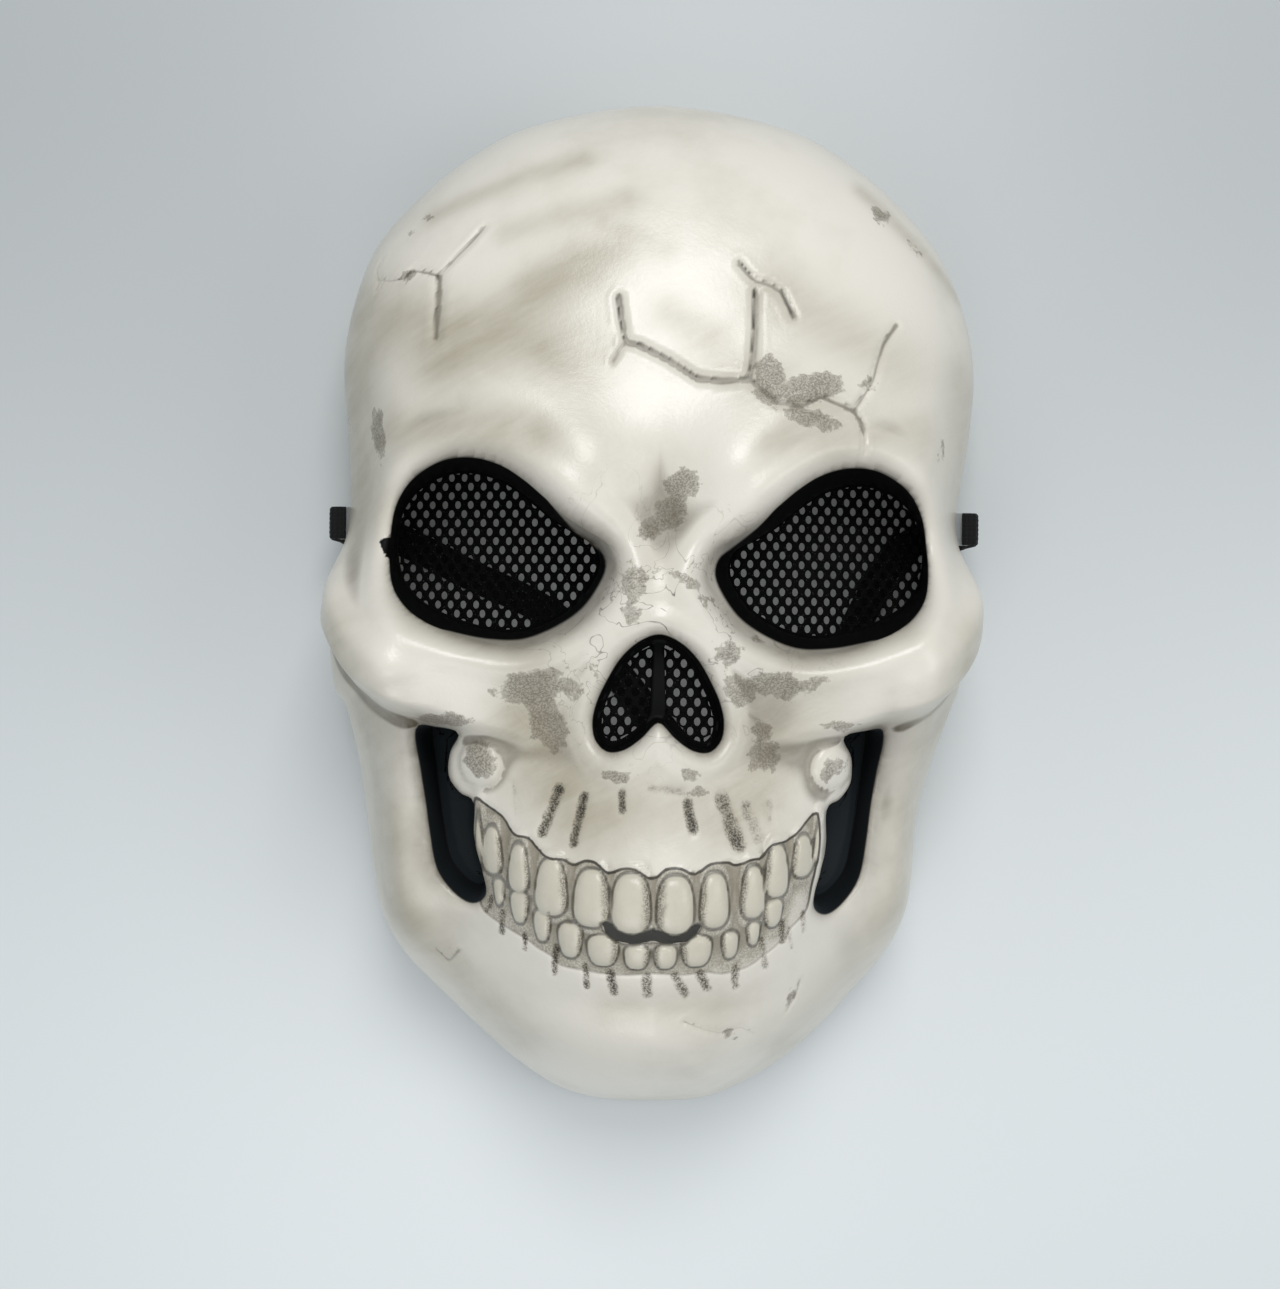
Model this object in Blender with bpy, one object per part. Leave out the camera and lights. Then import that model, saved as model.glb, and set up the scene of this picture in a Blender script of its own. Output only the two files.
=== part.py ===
"""Skull mask: a formed plastic face with mesh behind its eyes and nose, and an elastic head strap.

The mask lies face up on its rim. Sizes are in millimetres and become metres when a mesh is made.
X runs across the face, Y from chin to crown, Z out of the face, and z = 0 is the plane of the rim.
"""
import bpy
import numpy as np

MM = 0.001

# Overall size of the formed face
MASK_LENGTH = 284.0
MASK_WIDTH = 181.0
MASK_DEPTH = 87.0
SHELL_WALL = 1.5
FITTING_GAP = 0.3
MIDLINE_X = 0.5

# Eye sockets
EYE_CENTRES = ((-38.9, 14.8), (40.3, 13.2))
EYE_SIZE = (57.2, 46.8)
EYE_FLOOR_Z = 54.0
EYE_FLOOR_TILT = 0.22

# How far the foot of each eye socket's wall, and the hole in its floor, are drawn in from the outline, left
# and right: at the outer side, the inner side, the top and the bottom
EYE_FOOT = ((-1.2, 4.2, 0.5, 4.0), (-2.6, 6.8, 1.3, 4.8))
EYE_HOLE = ((-0.8, 5.0, 1.0, 4.8), (-2.2, 7.5, 1.8, 5.6))

# Nose recess
NOSE_TOP_Y = -5.0
NOSE_SIZE = (32.0, 28.5)
NOSE_FLOOR_Z = 77.5
NOSE_WALL_INSET = 0.9
NOSE_FLANGE = 0.9
SEPTUM_WIDTH = 2.8

# Cheek pockets beside the jaw
POCKET_CENTRES = ((-51.3, -51.7), (49.3, -52.8))
POCKET_SIZES = ((18.9, 44.6), (18.6, 46.8))
POCKET_FLOOR_Z = 40.0
POCKET_WALL_INSET = 1.6

# Jaw hinge balls
BALL_CENTRE = (43.9, -37.7)
BALL_RADIUS = 6.1
BALL_RISE = 3.8

# Mouth slit between the front teeth

# Rolled edges round the recesses: height of the roll, its distance and spread, then the fall at the very
# edge and how fast that fades
EYE_ROLL = (2.4, 4.5, 4.0, 2.2, 1.3)
NOSE_ROLL = (1.2, 3.2, 2.6, 1.4, 0.9)
POCKET_ROLL = (0.0, 4.0, 3.0, 1.6, 1.2)
ROLL_REACH = 16.0

# Mesh panels
PANEL_THICKNESS = 1.0
PANEL_MARGIN = 3.2

# Strap tabs and their slits in the temples
TAB_Y = 25.5
TAB_Z = 28.0
TAB_WIDTH = 9.0
TAB_THICKNESS = 0.9
TAB_OUTSIDE = 3.8
TAB_HEAD_WIDTH = 13.0
TAB_HEAD_LENGTH = 3.0
SLIT_CLEARANCE = 0.45

# Elastic strap, and the arch in the rim that lets it pass
STRAP_WIDTH = 9.0
STRAP_THICKNESS = 1.2
STRAP_OVERLAP = 2.4
STRAP_TURN = 2.0
STRAP_FLOOR_GAP = 0.3
RIM_ARCH_HEIGHT = 4.6
RIM_ARCH_LENGTH = 13.0

# Mesh fineness
GRID_COLUMNS = 128
GRID_ROWS = 180
SHELL_FACE_BUDGET = 3600
STRAP_STATIONS = 56
MITRE_LIMIT = 0.8

# Rim outline: height up the face as a share of half the length, then the half-widths of the left and
# the right side as shares of half the width
RIM_ROWS = [
    (1.000, 0.000, 0.000), (0.986, 0.215, 0.215), (0.951, 0.430, 0.430), (0.901, 0.575, 0.575),
    (0.831, 0.718, 0.718), (0.732, 0.862, 0.862), (0.620, 0.938, 0.950), (0.493, 0.972, 0.992),
    (0.345, 0.958, 0.978), (0.180, 0.945, 0.935), (0.035, 0.990, 0.978), (-0.127, 1.000, 0.960),
    (-0.190, 0.961, 0.934), (-0.310, 0.928, 0.884), (-0.412, 0.910, 0.850), (-0.525, 0.888, 0.834),
    (-0.601, 0.862, 0.810), (-0.675, 0.798, 0.755), (-0.752, 0.695, 0.668), (-0.835, 0.566, 0.556),
    (-0.911, 0.433, 0.424), (-0.968, 0.300, 0.277), (-0.994, 0.170, 0.160), (-1.000, 0.000, 0.000),
]

# Depth of the plain dome at each height: share of half the length, share of the mask's depth
DEPTH_ROWS = [
    (-1.00, 1.195), (-0.90, 1.270), (-0.80, 1.250), (-0.70, 1.195), (-0.62, 1.130), (-0.53, 1.100),
    (-0.42, 1.055), (-0.33, 1.025), (-0.20, 1.010), (-0.05, 0.995), (0.10, 0.985), (0.30, 0.995),
    (0.56, 1.000), (0.80, 1.055), (1.00, 1.065),
]

# How the dome rounds off towards the rim: angle from the crown in degrees, then its two exponents
ROUNDING_ROWS = [
    (0, 2.50, 3.35), (50, 2.42, 3.05), (75, 2.50, 3.20), (90, 2.60, 3.50), (102, 2.80, 2.80),
    (116, 3.00, 2.20), (137, 2.80, 1.75), (160, 3.20, 1.35), (180, 4.00, 1.20),
]

# Eye socket outline for the right side: shares of half its width, outward, and half its height, upward
EYE_ROWS = [
    (1.00, 0.16), (0.95, 0.50), (0.785, 0.785), (0.52, 0.965), (0.25, 0.99), (0.00, 0.905),
    (-0.20, 0.755), (-0.38, 0.57), (-0.565, 0.375), (-0.76, 0.225), (-0.93, 0.09), (-1.00, -0.12),
    (-0.95, -0.35), (-0.77, -0.665), (-0.50, -0.885), (-0.20, -1.00), (0.10, -0.97), (0.36, -0.88),
    (0.60, -0.755), (0.79, -0.60), (0.93, -0.38), (0.99, -0.12),
]

# Nose outline for the right half: share of half its width outward, share of its height downward
NOSE_ROWS = [
    (0.00, 0.00), (0.20, 0.03), (0.42, 0.11), (0.62, 0.235), (0.79, 0.40), (0.93, 0.57), (1.00, 0.74),
    (0.96, 0.90), (0.78, 1.00), (0.52, 0.985), (0.25, 0.88), (0.06, 0.765),
]

# Cheek pocket outline for the right side: shares of half its width outward and half its height upward
POCKET_ROWS = [
    (1.00, 1.00), (0.92, 0.50), (0.80, 0.10), (0.69, -0.22), (0.46, -0.64), (-0.04, -0.91),
    (-0.55, -1.00), (-0.95, -0.86), (-0.80, -0.50), (-0.62, -0.20), (-0.62, 0.18), (-0.20, 0.28),
    (0.12, 0.46), (0.05, 0.74), (-0.22, 0.97), (0.40, 1.03),
]

# Lower edge of the cheekbone: distance out from the midline and height, as shares of half the width
# and half the length, and how far the bone stands proud there, as a share of the depth
CHEEK_ROWS = [
    (0.20, -0.235, 0.00), (0.36, -0.232, 0.02), (0.50, -0.215, 0.07), (0.60, -0.197, 0.12),
    (0.70, -0.182, 0.155), (0.80, -0.152, 0.180), (0.88, -0.108, 0.205), (0.94, -0.055, 0.215),
    (1.00, 0.000, 0.215),
]

# Rounded swells and hollows, mirrored to both sides: place out and up as shares of half the width and
# half the length, spread across and along likewise, turn in degrees, and height as a share of the depth
SWELL_ROWS = [
    (0.205, 0.235, 0.100, 0.055, 35, 0.055), (0.440, 0.372, 0.220, 0.060, 24, 0.050),
    (0.760, 0.275, 0.075, 0.095, 0, 0.035), (0.000, 0.170, 0.070, 0.070, 0, -0.050),
    (0.000, 0.040, 0.075, 0.090, 0, 0.050), (0.300, -0.215, 0.110, 0.060, -35, -0.050),
    (0.900, 0.330, 0.080, 0.110, 0, -0.060), (0.000, -0.800, 0.260, 0.060, 0, 0.022),
    (0.000, -0.680, 0.330, 0.030, 0, -0.028), (0.250, 0.620, 0.300, 0.200, 0, 0.012),
    (0.480, -0.420, 0.070, 0.150, 8, -0.035), (0.720, -0.370, 0.150, 0.170, 0, -0.170),
    (0.757, -0.370, 0.074, 0.220, 0, 0.155), (0.690, -0.550, 0.080, 0.090, 0, 0.060),
]

# Upper teeth from left to right: centre, width, gum height and tip height as shares of half the width
# and half the length
UPPER_TEETH = [
    (-0.487, 0.025, -0.358, -0.446), (-0.446, 0.067, -0.372, -0.458), (-0.368, 0.065, -0.397, -0.483),
    (-0.277, 0.097, -0.418, -0.518), (-0.168, 0.105, -0.432, -0.532), (-0.063, 0.110, -0.437, -0.540),
    (0.054, 0.105, -0.440, -0.540), (0.158, 0.084, -0.436, -0.532), (0.263, 0.072, -0.427, -0.519),
    (0.329, 0.074, -0.392, -0.486), (0.405, 0.069, -0.380, -0.455), (0.452, 0.027, -0.367, -0.438),
]

# Lower teeth from left to right, in the same columns
LOWER_TEETH = [
    (-0.426, 0.038, -0.464, -0.514), (-0.366, 0.058, -0.480, -0.540), (-0.302, 0.052, -0.508, -0.568),
    (-0.225, 0.072, -0.527, -0.592), (-0.137, 0.090, -0.545, -0.602), (-0.047, 0.069, -0.560, -0.605),
    (0.030, 0.063, -0.559, -0.603), (0.113, 0.087, -0.543, -0.601), (0.204, 0.049, -0.540, -0.590),
    (0.268, 0.040, -0.525, -0.570), (0.322, 0.060, -0.487, -0.540),
]
TOOTH_RISE = 1.9
TOOTH_FULL_WIDTH = 4.0
TOOTH_TAPER = (0.12, 0.5)
JAW_STEP = 1.5
GUM_RISE = 0.9

# Edge of the bone round the mouth, in millimetres: the scalloped gum line from left to right, and then
# the line under the lower teeth from right to left
MOUTH = [
    (-45.1, -46.4), (-41.9, -47.9), (-37.5, -50.5), (-34.8, -54.2), (-31.0, -54.9), (-28.4, -57.5),
    (-25.8, -59.3), (-22.2, -59.5), (-19.7, -60.9), (-17.2, -59.7), (-14.3, -59.9), (-11.1, -62.3),
    (-8.0, -61.1), (-4.8, -61.2), (-0.6, -63.4), (2.6, -61.1), (6.1, -60.9), (9.6, -62.4), (13.2, -60.0),
    (17.5, -59.8), (19.7, -60.6), (23.3, -59.2), (25.9, -58.9), (28.2, -56.0), (33.0, -54.9),
    (37.0, -51.6), (40.6, -49.0), (41.3, -57.6), (39.8, -66.0), (38.4, -73.3), (34.4, -77.3),
    (30.7, -81.5), (27.0, -84.2), (24.0, -86.2), (20.3, -87.3), (16.6, -87.7), (12.2, -86.9),
    (7.2, -87.4), (0.1, -86.9), (-6.3, -87.5), (-12.0, -87.5), (-16.3, -87.1), (-22.9, -86.4),
    (-25.1, -84.3), (-28.8, -82.5), (-31.1, -80.9), (-35.6, -78.9), (-40.4, -76.7), (-43.8, -73.7),
    (-45.3, -64.7), (-45.9, -55.7),
]

# Mouth slit, in millimetres: its upper edge follows the tips of the upper teeth
SLIT = [
    (-12.9, -74.3), (-10.3, -74.4), (-9.1, -76.0), (-5.4, -77.1), (-2.2, -76.1), (-0.5, -75.5),
    (1.7, -76.1), (4.5, -77.2), (7.7, -76.3), (9.2, -74.6), (11.2, -74.6), (10.4, -76.6), (8.3, -78.1),
    (6.3, -79.3), (-0.4, -78.9), (-7.1, -79.5), (-9.6, -78.4), (-11.7, -76.9),
]

# Strap route on the surface under the mask, from left to right: shares of half the width and length
STRAP_ROWS = [
    (-0.790, 0.150), (-0.600, 0.090), (-0.350, 0.015), (-0.150, -0.090), (0.000, -0.200),
    (0.140, -0.290), (0.300, -0.310), (0.460, -0.240), (0.600, -0.100), (0.700, 0.030), (0.790, 0.130),
]

HALF_LENGTH = MASK_LENGTH / 2
HALF_WIDTH = MASK_WIDTH / 2


def clear_scene():
    """Remove every object, so that the model is built from nothing."""
    for item in list(bpy.data.objects):
        bpy.data.objects.remove(item)


def smooth_table(place, stops, values):
    """Cubic curve through a table: each stretch leaves and meets its stops at the mean slope there."""
    stops, values = np.asarray(stops, float), np.asarray(values, float)
    slopes = np.gradient(values, stops)
    place = np.clip(place, stops[0], stops[-1])
    index = np.clip(np.searchsorted(stops, place) - 1, 0, len(stops) - 2)
    span = stops[index + 1] - stops[index]
    t = (place - stops[index]) / span
    rise = (2 * t**3 - 3 * t**2 + 1) * values[index] + (3 * t**2 - 2 * t**3) * values[index + 1]
    lean = (t**3 - 2 * t**2 + t) * slopes[index] + (t**3 - t**2) * slopes[index + 1]
    return rise + span * lean


def closed_curve(points, steps):
    """Closed curve through the points, each span a cubic that leaves along its neighbours' chord."""
    points = np.asarray(points, float)
    t = np.arange(steps)[None, :, None] / steps
    before, after = np.roll(points, 1, 0)[:, None], np.roll(points, -1, 0)[:, None]
    beyond, here = np.roll(points, -2, 0)[:, None], points[:, None]
    curve = 0.5 * (2 * here + (after - before) * t
                   + (2 * before - 5 * here + 4 * after - beyond) * t**2
                   + (3 * here - before - 3 * after + beyond) * t**3)
    return curve.reshape(-1, 2)


def smooth_step(t):
    """Rise from 0 to 1 as t goes from 0 to 1, level at both ends."""
    t = np.clip(t, 0, 1)
    return t * t * (3 - 2 * t)


def rim_outline():
    """The rim as a dense closed outline, counter-clockwise from the crown."""
    rows = np.array(RIM_ROWS)
    left = np.column_stack([-rows[:, 1] * HALF_WIDTH, rows[:, 0] * HALF_LENGTH])
    right = np.column_stack([rows[:, 2] * HALF_WIDTH, rows[:, 0] * HALF_LENGTH])
    return closed_curve(np.vstack([left, right[-2:0:-1]]), 12)


def eye_outline(side):
    """Outline of one eye socket, side -1 for left and 1 for right."""
    rows = np.array(EYE_ROWS) * np.array(EYE_SIZE) / 2
    rows = rows * np.array([side, 1]) + np.array(EYE_CENTRES[side > 0])
    return closed_curve(rows, 6)


def nose_outline():
    """Outline of the heart-shaped nose recess."""
    rows = np.array(NOSE_ROWS)
    right = np.column_stack([rows[:, 0] * NOSE_SIZE[0] / 2, NOSE_TOP_Y - rows[:, 1] * NOSE_SIZE[1]])
    left = right[:0:-1] * np.array([-1, 1])
    return closed_curve(np.vstack([right, left]) + np.array([MIDLINE_X, 0]), 5)


def pocket_outline(side):
    """Outline of one cheek pocket."""
    rows = np.array(POCKET_ROWS) * np.array(POCKET_SIZES[side > 0]) / 2
    rows = rows * np.array([side, 1]) + np.array(POCKET_CENTRES[side > 0])
    return closed_curve(rows, 6)


def slit_outline():
    """Outline of the mouth slit."""
    return closed_curve(SLIT, 3)


def mouth_outline():
    """Outline of the sunk ground in which the teeth stand."""
    return closed_curve(MOUTH, 3)


def outline_distance(points, outline):
    """Signed distance of points to a closed outline, less than 0 inside, and the way outward."""
    start, end = outline, np.roll(outline, -1, 0)
    way = end - start
    offset = points[:, None, :] - start[None]
    share = np.clip((offset * way).sum(2) / (way * way).sum(1), 0, 1)
    gap = offset - share[..., None] * way
    length = np.sqrt((gap * gap).sum(2))
    nearest = length.argmin(1)
    rows = np.arange(len(points))
    distance = length[rows, nearest]
    above = start[None, :, 1] > points[:, None, 1]
    crosses = above != (end[None, :, 1] > points[:, None, 1])
    run = np.where(np.abs(way[:, 1]) < 1e-9, 1e-9, way[:, 1])
    cut = start[None, :, 0] + (points[:, None, 1] - start[None, :, 1]) / run * way[None, :, 0]
    inside = (crosses & (points[:, None, 0] < cut)).sum(1) % 2 == 1
    sign = np.where(inside, -1.0, 1.0)
    normal = np.column_stack([way[nearest, 1], -way[nearest, 0]])
    normal /= np.linalg.norm(normal, axis=1)[:, None]
    turn = np.sign((np.roll(outline, -1, 0)[:, 1] * outline[:, 0]
                    - np.roll(outline, -1, 0)[:, 0] * outline[:, 1]).sum())
    outward = np.where(distance[:, None] > 0.05, sign[:, None] * gap[rows, nearest]
                       / np.maximum(distance, 1e-9)[:, None], normal * turn)
    return sign * distance, outward


def near_outline(points, outline, reach):
    """Signed distance where it is under the reach, and the reach itself further out."""
    low, high = outline.min(0) - reach, outline.max(0) + reach
    close = ((points > low) & (points < high)).all(1)
    distance = np.full(len(points), float(reach))
    if close.any():
        distance[close] = np.minimum(outline_distance(points[close], outline)[0], reach)
    return distance


def rim_share(points):
    """How far out each point lies, 0 at the centre and 1 on the rim, and its angle from the crown."""
    outline = rim_outline()
    angle = np.arctan2(outline[:, 1], outline[:, 0])
    order = angle.argsort()
    reach = np.hypot(outline[:, 0], outline[:, 1])[order]
    radius = np.interp(np.arctan2(points[:, 1], points[:, 0]), angle[order], reach, period=2 * np.pi)
    crown = np.degrees(np.arctan2(np.abs(points[:, 0]), points[:, 1]))
    return np.hypot(points[:, 0], points[:, 1]) / radius, crown


def edge_roll(points, outline, roll):
    """Rise of the rolled edge round a recess, and the fall right at its outline."""
    rise, place, spread, fall, fade = roll
    distance = near_outline(points, outline, ROLL_REACH)
    return (rise * np.exp(-((distance - place) / spread) ** 2)
            - fall * np.exp(-np.maximum(distance, 0) / fade))


def tooth_forms(points, table, root_way):
    """Where each point lies on each tooth: its distance out, 1 at the edge, and its place across.

    A tooth is a rounded block, (|across|^2.6 + |along|^2.8)^(1/2.7) = 1, that narrows towards its root,
    the outer teeth more than those in the middle. The tooth widths are given as well.
    """
    size = np.array([HALF_WIDTH, HALF_WIDTH, HALF_LENGTH, HALF_LENGTH])
    centre, width, top, bottom = (np.array(table) * size).T
    along = (points[:, 1:2] - (top + bottom) / 2) / ((top - bottom) / 2)
    taper = TOOTH_TAPER[0] + TOOTH_TAPER[1] * np.abs(centre) / HALF_WIDTH
    across = (points[:, :1] - centre) / (width / 2)
    across = across / (1 - taper * smooth_step((along * root_way + 1) / 2))
    return (np.abs(across) ** 2.6 + np.abs(along) ** 2.8) ** (1 / 2.7), across, width


def teeth_relief(points):
    """Rise of the teeth and of the bone round them, the upper row standing in front of the lower.

    The bone ends at the mouth's edge in a low step.
    """
    relief = np.zeros(len(points))
    low, high = np.array([-62.0, -104.0]), np.array([58.0, -32.0])
    near = ((points > low) & (points < high)).all(1)
    spot = points[near]
    rises = np.zeros(len(spot))
    for table, step, root_way in ((LOWER_TEETH, 0.0, -1), (UPPER_TEETH, JAW_STEP, 1)):
        form, _, width = tooth_forms(spot, table, root_way)
        block = np.clip(1 - form**3, 0, 1) ** 0.5
        away = ((form - 1) * width / 2).min(1)
        tooth = (block * TOOTH_RISE * smooth_step(width / TOOTH_FULL_WIDTH)).max(1)
        ground = step * smooth_step((1.8 - away) / 1.2)
        rises = np.maximum(rises, tooth + ground)
    edge = near_outline(spot, mouth_outline(), 16.0)
    upper = 0.35 + 0.65 * smooth_step((spot[:, 1] + 78) / 12)
    rises += GUM_RISE * upper * smooth_step(edge / 0.45) * np.exp(-(np.maximum(edge, 0) / 6) ** 2)
    relief[near] = rises
    return relief


def face_height(points):
    """Height of the outer surface over each point of the plane of the rim.

    A plain dome, depth * (1 - share^p)^(1/q), whose exponents change round the rim, carries the
    cheekbones, rounded swells and hollows, the jaw hinge balls, the rolled edges round the sockets
    and the teeth. All of them fade out at the rim.
    """
    share, crown = rim_share(points)
    share = np.minimum(share, 1.0)
    out = np.abs(points[:, 0] - MIDLINE_X) / HALF_WIDTH
    up = points[:, 1] / HALF_LENGTH
    angles, first, second = np.array(ROUNDING_ROWS).T
    power = smooth_table(crown, angles, first)
    root = smooth_table(crown, angles, second)
    depth = smooth_table(up, *np.array(DEPTH_ROWS).T) * MASK_DEPTH
    height = depth * np.maximum(1 - share**power, 0) ** (1 / root)

    extra = np.zeros(len(points))
    place, edge, proud = np.array(CHEEK_ROWS).T
    edge_y = smooth_table(out, place, edge)
    rise = smooth_step((up - edge_y) / 0.045 + 0.35)
    fade = np.exp(-(np.maximum(up - edge_y - 0.07, 0) / 0.105) ** 2)
    extra += smooth_table(out, place, proud) * MASK_DEPTH * rise * fade
    for across, along, wide, long, turn, swell in SWELL_ROWS:
        angle = np.radians(turn)
        aside, ahead = (out - across) * HALF_WIDTH, (up - along) * HALF_LENGTH
        first = (aside * np.cos(angle) + ahead * np.sin(angle)) / (wide * HALF_WIDTH)
        second = (ahead * np.cos(angle) - aside * np.sin(angle)) / (long * HALF_LENGTH)
        extra += swell * MASK_DEPTH * np.exp(-0.5 * (first**2 + second**2))
    ball = np.hypot(out * HALF_WIDTH - BALL_CENTRE[0], points[:, 1] - BALL_CENTRE[1]) / BALL_RADIUS
    extra += BALL_RISE * np.sqrt(np.clip(1 - ball**2, 0, 1))
    for side in (-1, 1):
        extra += edge_roll(points, eye_outline(side), EYE_ROLL)
        extra += edge_roll(points, pocket_outline(side), POCKET_ROLL)
    extra += edge_roll(points, nose_outline(), NOSE_ROLL)
    height = height + (extra + teeth_relief(points)) * (1 - share**40)
    arch = np.exp(-((points[:, 1] - TAB_Y) / RIM_ARCH_LENGTH) ** 4) * RIM_ARCH_HEIGHT
    return np.maximum(height, 0) + arch * share**60


def spaced(count, centre, width, gain):
    """Values from -1 to 1, closer together near both ends and near the centre that is given."""
    t = np.linspace(-1, 1, 2001)
    crowd = 1 + 2.4 * t**10 + gain * np.exp(-((t - centre) / width) ** 2)
    total = np.concatenate([[0], np.cumsum((crowd[1:] + crowd[:-1]) / 2)])
    return np.interp(np.linspace(0, total[-1], count), total, t)


def face_grid():
    """Grid over the face, square rows and columns eased into the rim's outline."""
    a, b = np.meshgrid(spaced(GRID_COLUMNS, 0.0, 0.5, 0.5), spaced(GRID_ROWS, -0.54, 0.16, 1.2))
    u, v = a * np.sqrt(1 - b * b / 2), b * np.sqrt(1 - a * a / 2)
    angle = np.arctan2(v * HALF_LENGTH, u * HALF_WIDTH)
    outline = rim_outline()
    around = np.arctan2(outline[:, 1], outline[:, 0])
    order = around.argsort()
    reach = np.hypot(outline[:, 0], outline[:, 1])[order]
    radius = np.interp(angle, around[order], reach, period=2 * np.pi)
    share = np.hypot(u, v)
    points = np.stack([share * radius * np.cos(angle), share * radius * np.sin(angle)], -1)
    rows, columns = a.shape
    index = np.arange(rows * columns).reshape(rows, columns)
    quads = np.stack([index[:-1, :-1], index[:-1, 1:], index[1:, 1:], index[1:, :-1]], -1)
    edge = np.zeros((rows, columns), bool)
    edge[[0, -1], :] = True
    edge[:, [0, -1]] = True
    return points.reshape(-1, 2), quads.reshape(-1, 4), edge.reshape(-1)


def quads_to_triangles(quads, state):
    """Cut each quad in two, along the outline where that runs from corner to corner."""
    corner = state[quads]
    across = (corner[:, 0] == 0) & (corner[:, 2] == 0)
    other = (corner[:, 1] == 0) & (corner[:, 3] == 0) & ~across
    first = np.where(other[:, None], quads[:, [0, 1, 3]], quads[:, [0, 1, 2]])
    second = np.where(other[:, None], quads[:, [1, 2, 3]], quads[:, [0, 2, 3]])
    return np.vstack([first, second])


def snap_to_outline(points, quads, fixed, outline):
    """Move the grid points nearest to an outline onto it. Gives the points and each one's side of it."""
    low, high = outline.min(0) - 8, outline.max(0) + 8
    close = ((points > low) & (points < high)).all(1)
    distance = np.full(len(points), 99.0)
    outward = np.zeros_like(points)
    distance[close], outward[close] = outline_distance(points[close], outline)
    edges = np.vstack([quads[:, [0, 1]], quads[:, [1, 2]], quads[:, [2, 3]], quads[:, [3, 0]]])
    crossing = edges[distance[edges[:, 0]] * distance[edges[:, 1]] < 0]
    closer = np.abs(distance[crossing]).argmin(1)
    chosen = np.unique(crossing[np.arange(len(crossing)), closer])
    chosen = chosen[~fixed[chosen]]
    points = points.copy()
    points[chosen] -= outward[chosen] * distance[chosen][:, None]
    state = np.sign(distance).astype(int)
    state[chosen] = 0
    return points, state


def boundary_edges(faces):
    """Edges that only one face uses, in the direction in which that face runs along them."""
    edges = np.vstack([faces[:, [0, 1]], faces[:, [1, 2]], faces[:, [2, 0]]])
    key = np.sort(edges, 1)
    _, inverse, count = np.unique(key, axis=0, return_inverse=True, return_counts=True)
    return edges[count[inverse.reshape(-1)] == 1]


def sink(points, outline, inset):
    """Draw the points inside an outline inward, by the inset at its edge and by nothing at its middle."""
    distance, outward = outline_distance(points, outline)
    deep = np.maximum(-distance, 0)
    pull = inset * np.clip(1 - deep / max(deep.max(), 1e-6), 0, 1)
    return points - outward * pull[:, None]


def eye_drawn_in(points, side, insets):
    """Points of an eye socket drawn in by their own amounts at its outer side, inner side, top and foot."""
    outer, inner, top, foot = insets[side > 0]
    centre = np.array(EYE_CENTRES[side > 0])
    share = 1 - np.array([outer + inner, top + foot]) / np.array(EYE_SIZE)
    return centre + (points - centre) * share + np.array([side * (inner - outer), foot - top]) / 2


def eye_hole(side):
    """Outline of the hole in the floor of one eye socket."""
    return eye_drawn_in(eye_outline(side), side, EYE_HOLE)


def eye_floor(points):
    """Height of the flat flange at the bottom of the eye sockets, which leans back towards the temples."""
    out = np.abs(points[:, 0] - MIDLINE_X) - EYE_CENTRES[1][0]
    return EYE_FLOOR_Z - EYE_FLOOR_TILT * out


def nose_floor(points):
    """Height of the nose recess's floor."""
    return np.full(len(points), NOSE_FLOOR_Z)


def pocket_floor(points):
    """Height of the cheek pocket's floor, which is lowest at its upper end."""
    along = (points[:, 1] - POCKET_CENTRES[1][1]) / (POCKET_SIZES[1][1] / 2)
    return POCKET_FLOOR_Z - 2.0 * along


def recesses():
    """Each recess: its outline, how its points are drawn in, its floor, and the holes in that floor."""
    found = []
    for side in (-1, 1):
        found.append((eye_outline(side), lambda spot, side=side: eye_drawn_in(spot, side, EYE_FOOT),
                      eye_floor, [eye_hole(side)]))
        pocket = pocket_outline(side)
        found.append((pocket, lambda spot, line=pocket: sink(spot, line, POCKET_WALL_INSET),
                      pocket_floor, []))
    nose = nose_outline()
    found.append((nose, lambda spot: sink(spot, nose, NOSE_WALL_INSET), nose_floor, nostril_outlines()))
    return found


def shrunk(outline, inset):
    """The outline moved inward along its own normals."""
    way = np.roll(outline, -1, 0) - np.roll(outline, 1, 0)
    normal = np.column_stack([way[:, 1], -way[:, 0]])
    normal /= np.linalg.norm(normal, axis=1)[:, None]
    turn = np.sign((np.roll(outline, -1, 0)[:, 1] * outline[:, 0]
                    - np.roll(outline, -1, 0)[:, 0] * outline[:, 1]).sum())
    return outline - normal * turn * inset


def nostril_outlines():
    """The two holes in the nose recess's floor, one on each side of the septum bar."""
    outline = shrunk(nose_outline(), NOSE_WALL_INSET + NOSE_FLANGE)
    holes = []
    for side in (-1, 1):
        near = side * (outline[:, 0] - MIDLINE_X)
        part = outline[near > SEPTUM_WIDTH / 2 + 0.4]
        middle = part.mean(0)
        part = part[np.argsort(np.arctan2(part[:, 1] - middle[1], side * (part[:, 0] - middle[0])))]
        inner = MIDLINE_X + side * SEPTUM_WIDTH / 2
        part[:, 0] = np.where(side * (part[:, 0] - inner) < 0.6, inner, part[:, 0])
        holes.append(part)
    return holes


def outer_skin():
    """The outer surface with its recesses and holes, as points and triangles, open along its edges."""
    points, quads, rim = face_grid()
    lids = []
    for recess in recesses():
        points, state = snap_to_outline(points, quads, rim, recess[0])
        lids.append(state)
    points, slit = snap_to_outline(points, quads, rim, slit_outline())
    faces = quads_to_triangles(quads, np.min([np.abs(state) for state in lids + [slit]], 0))
    verts = np.column_stack([points, face_height(points)])
    kept = (slit[faces] >= 0).all(1) | (slit[faces] > 0).any(1)
    for state in lids:
        kept &= (state[faces] > 0).any(1)
    return verts, faces[kept], faces, lids


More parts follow.
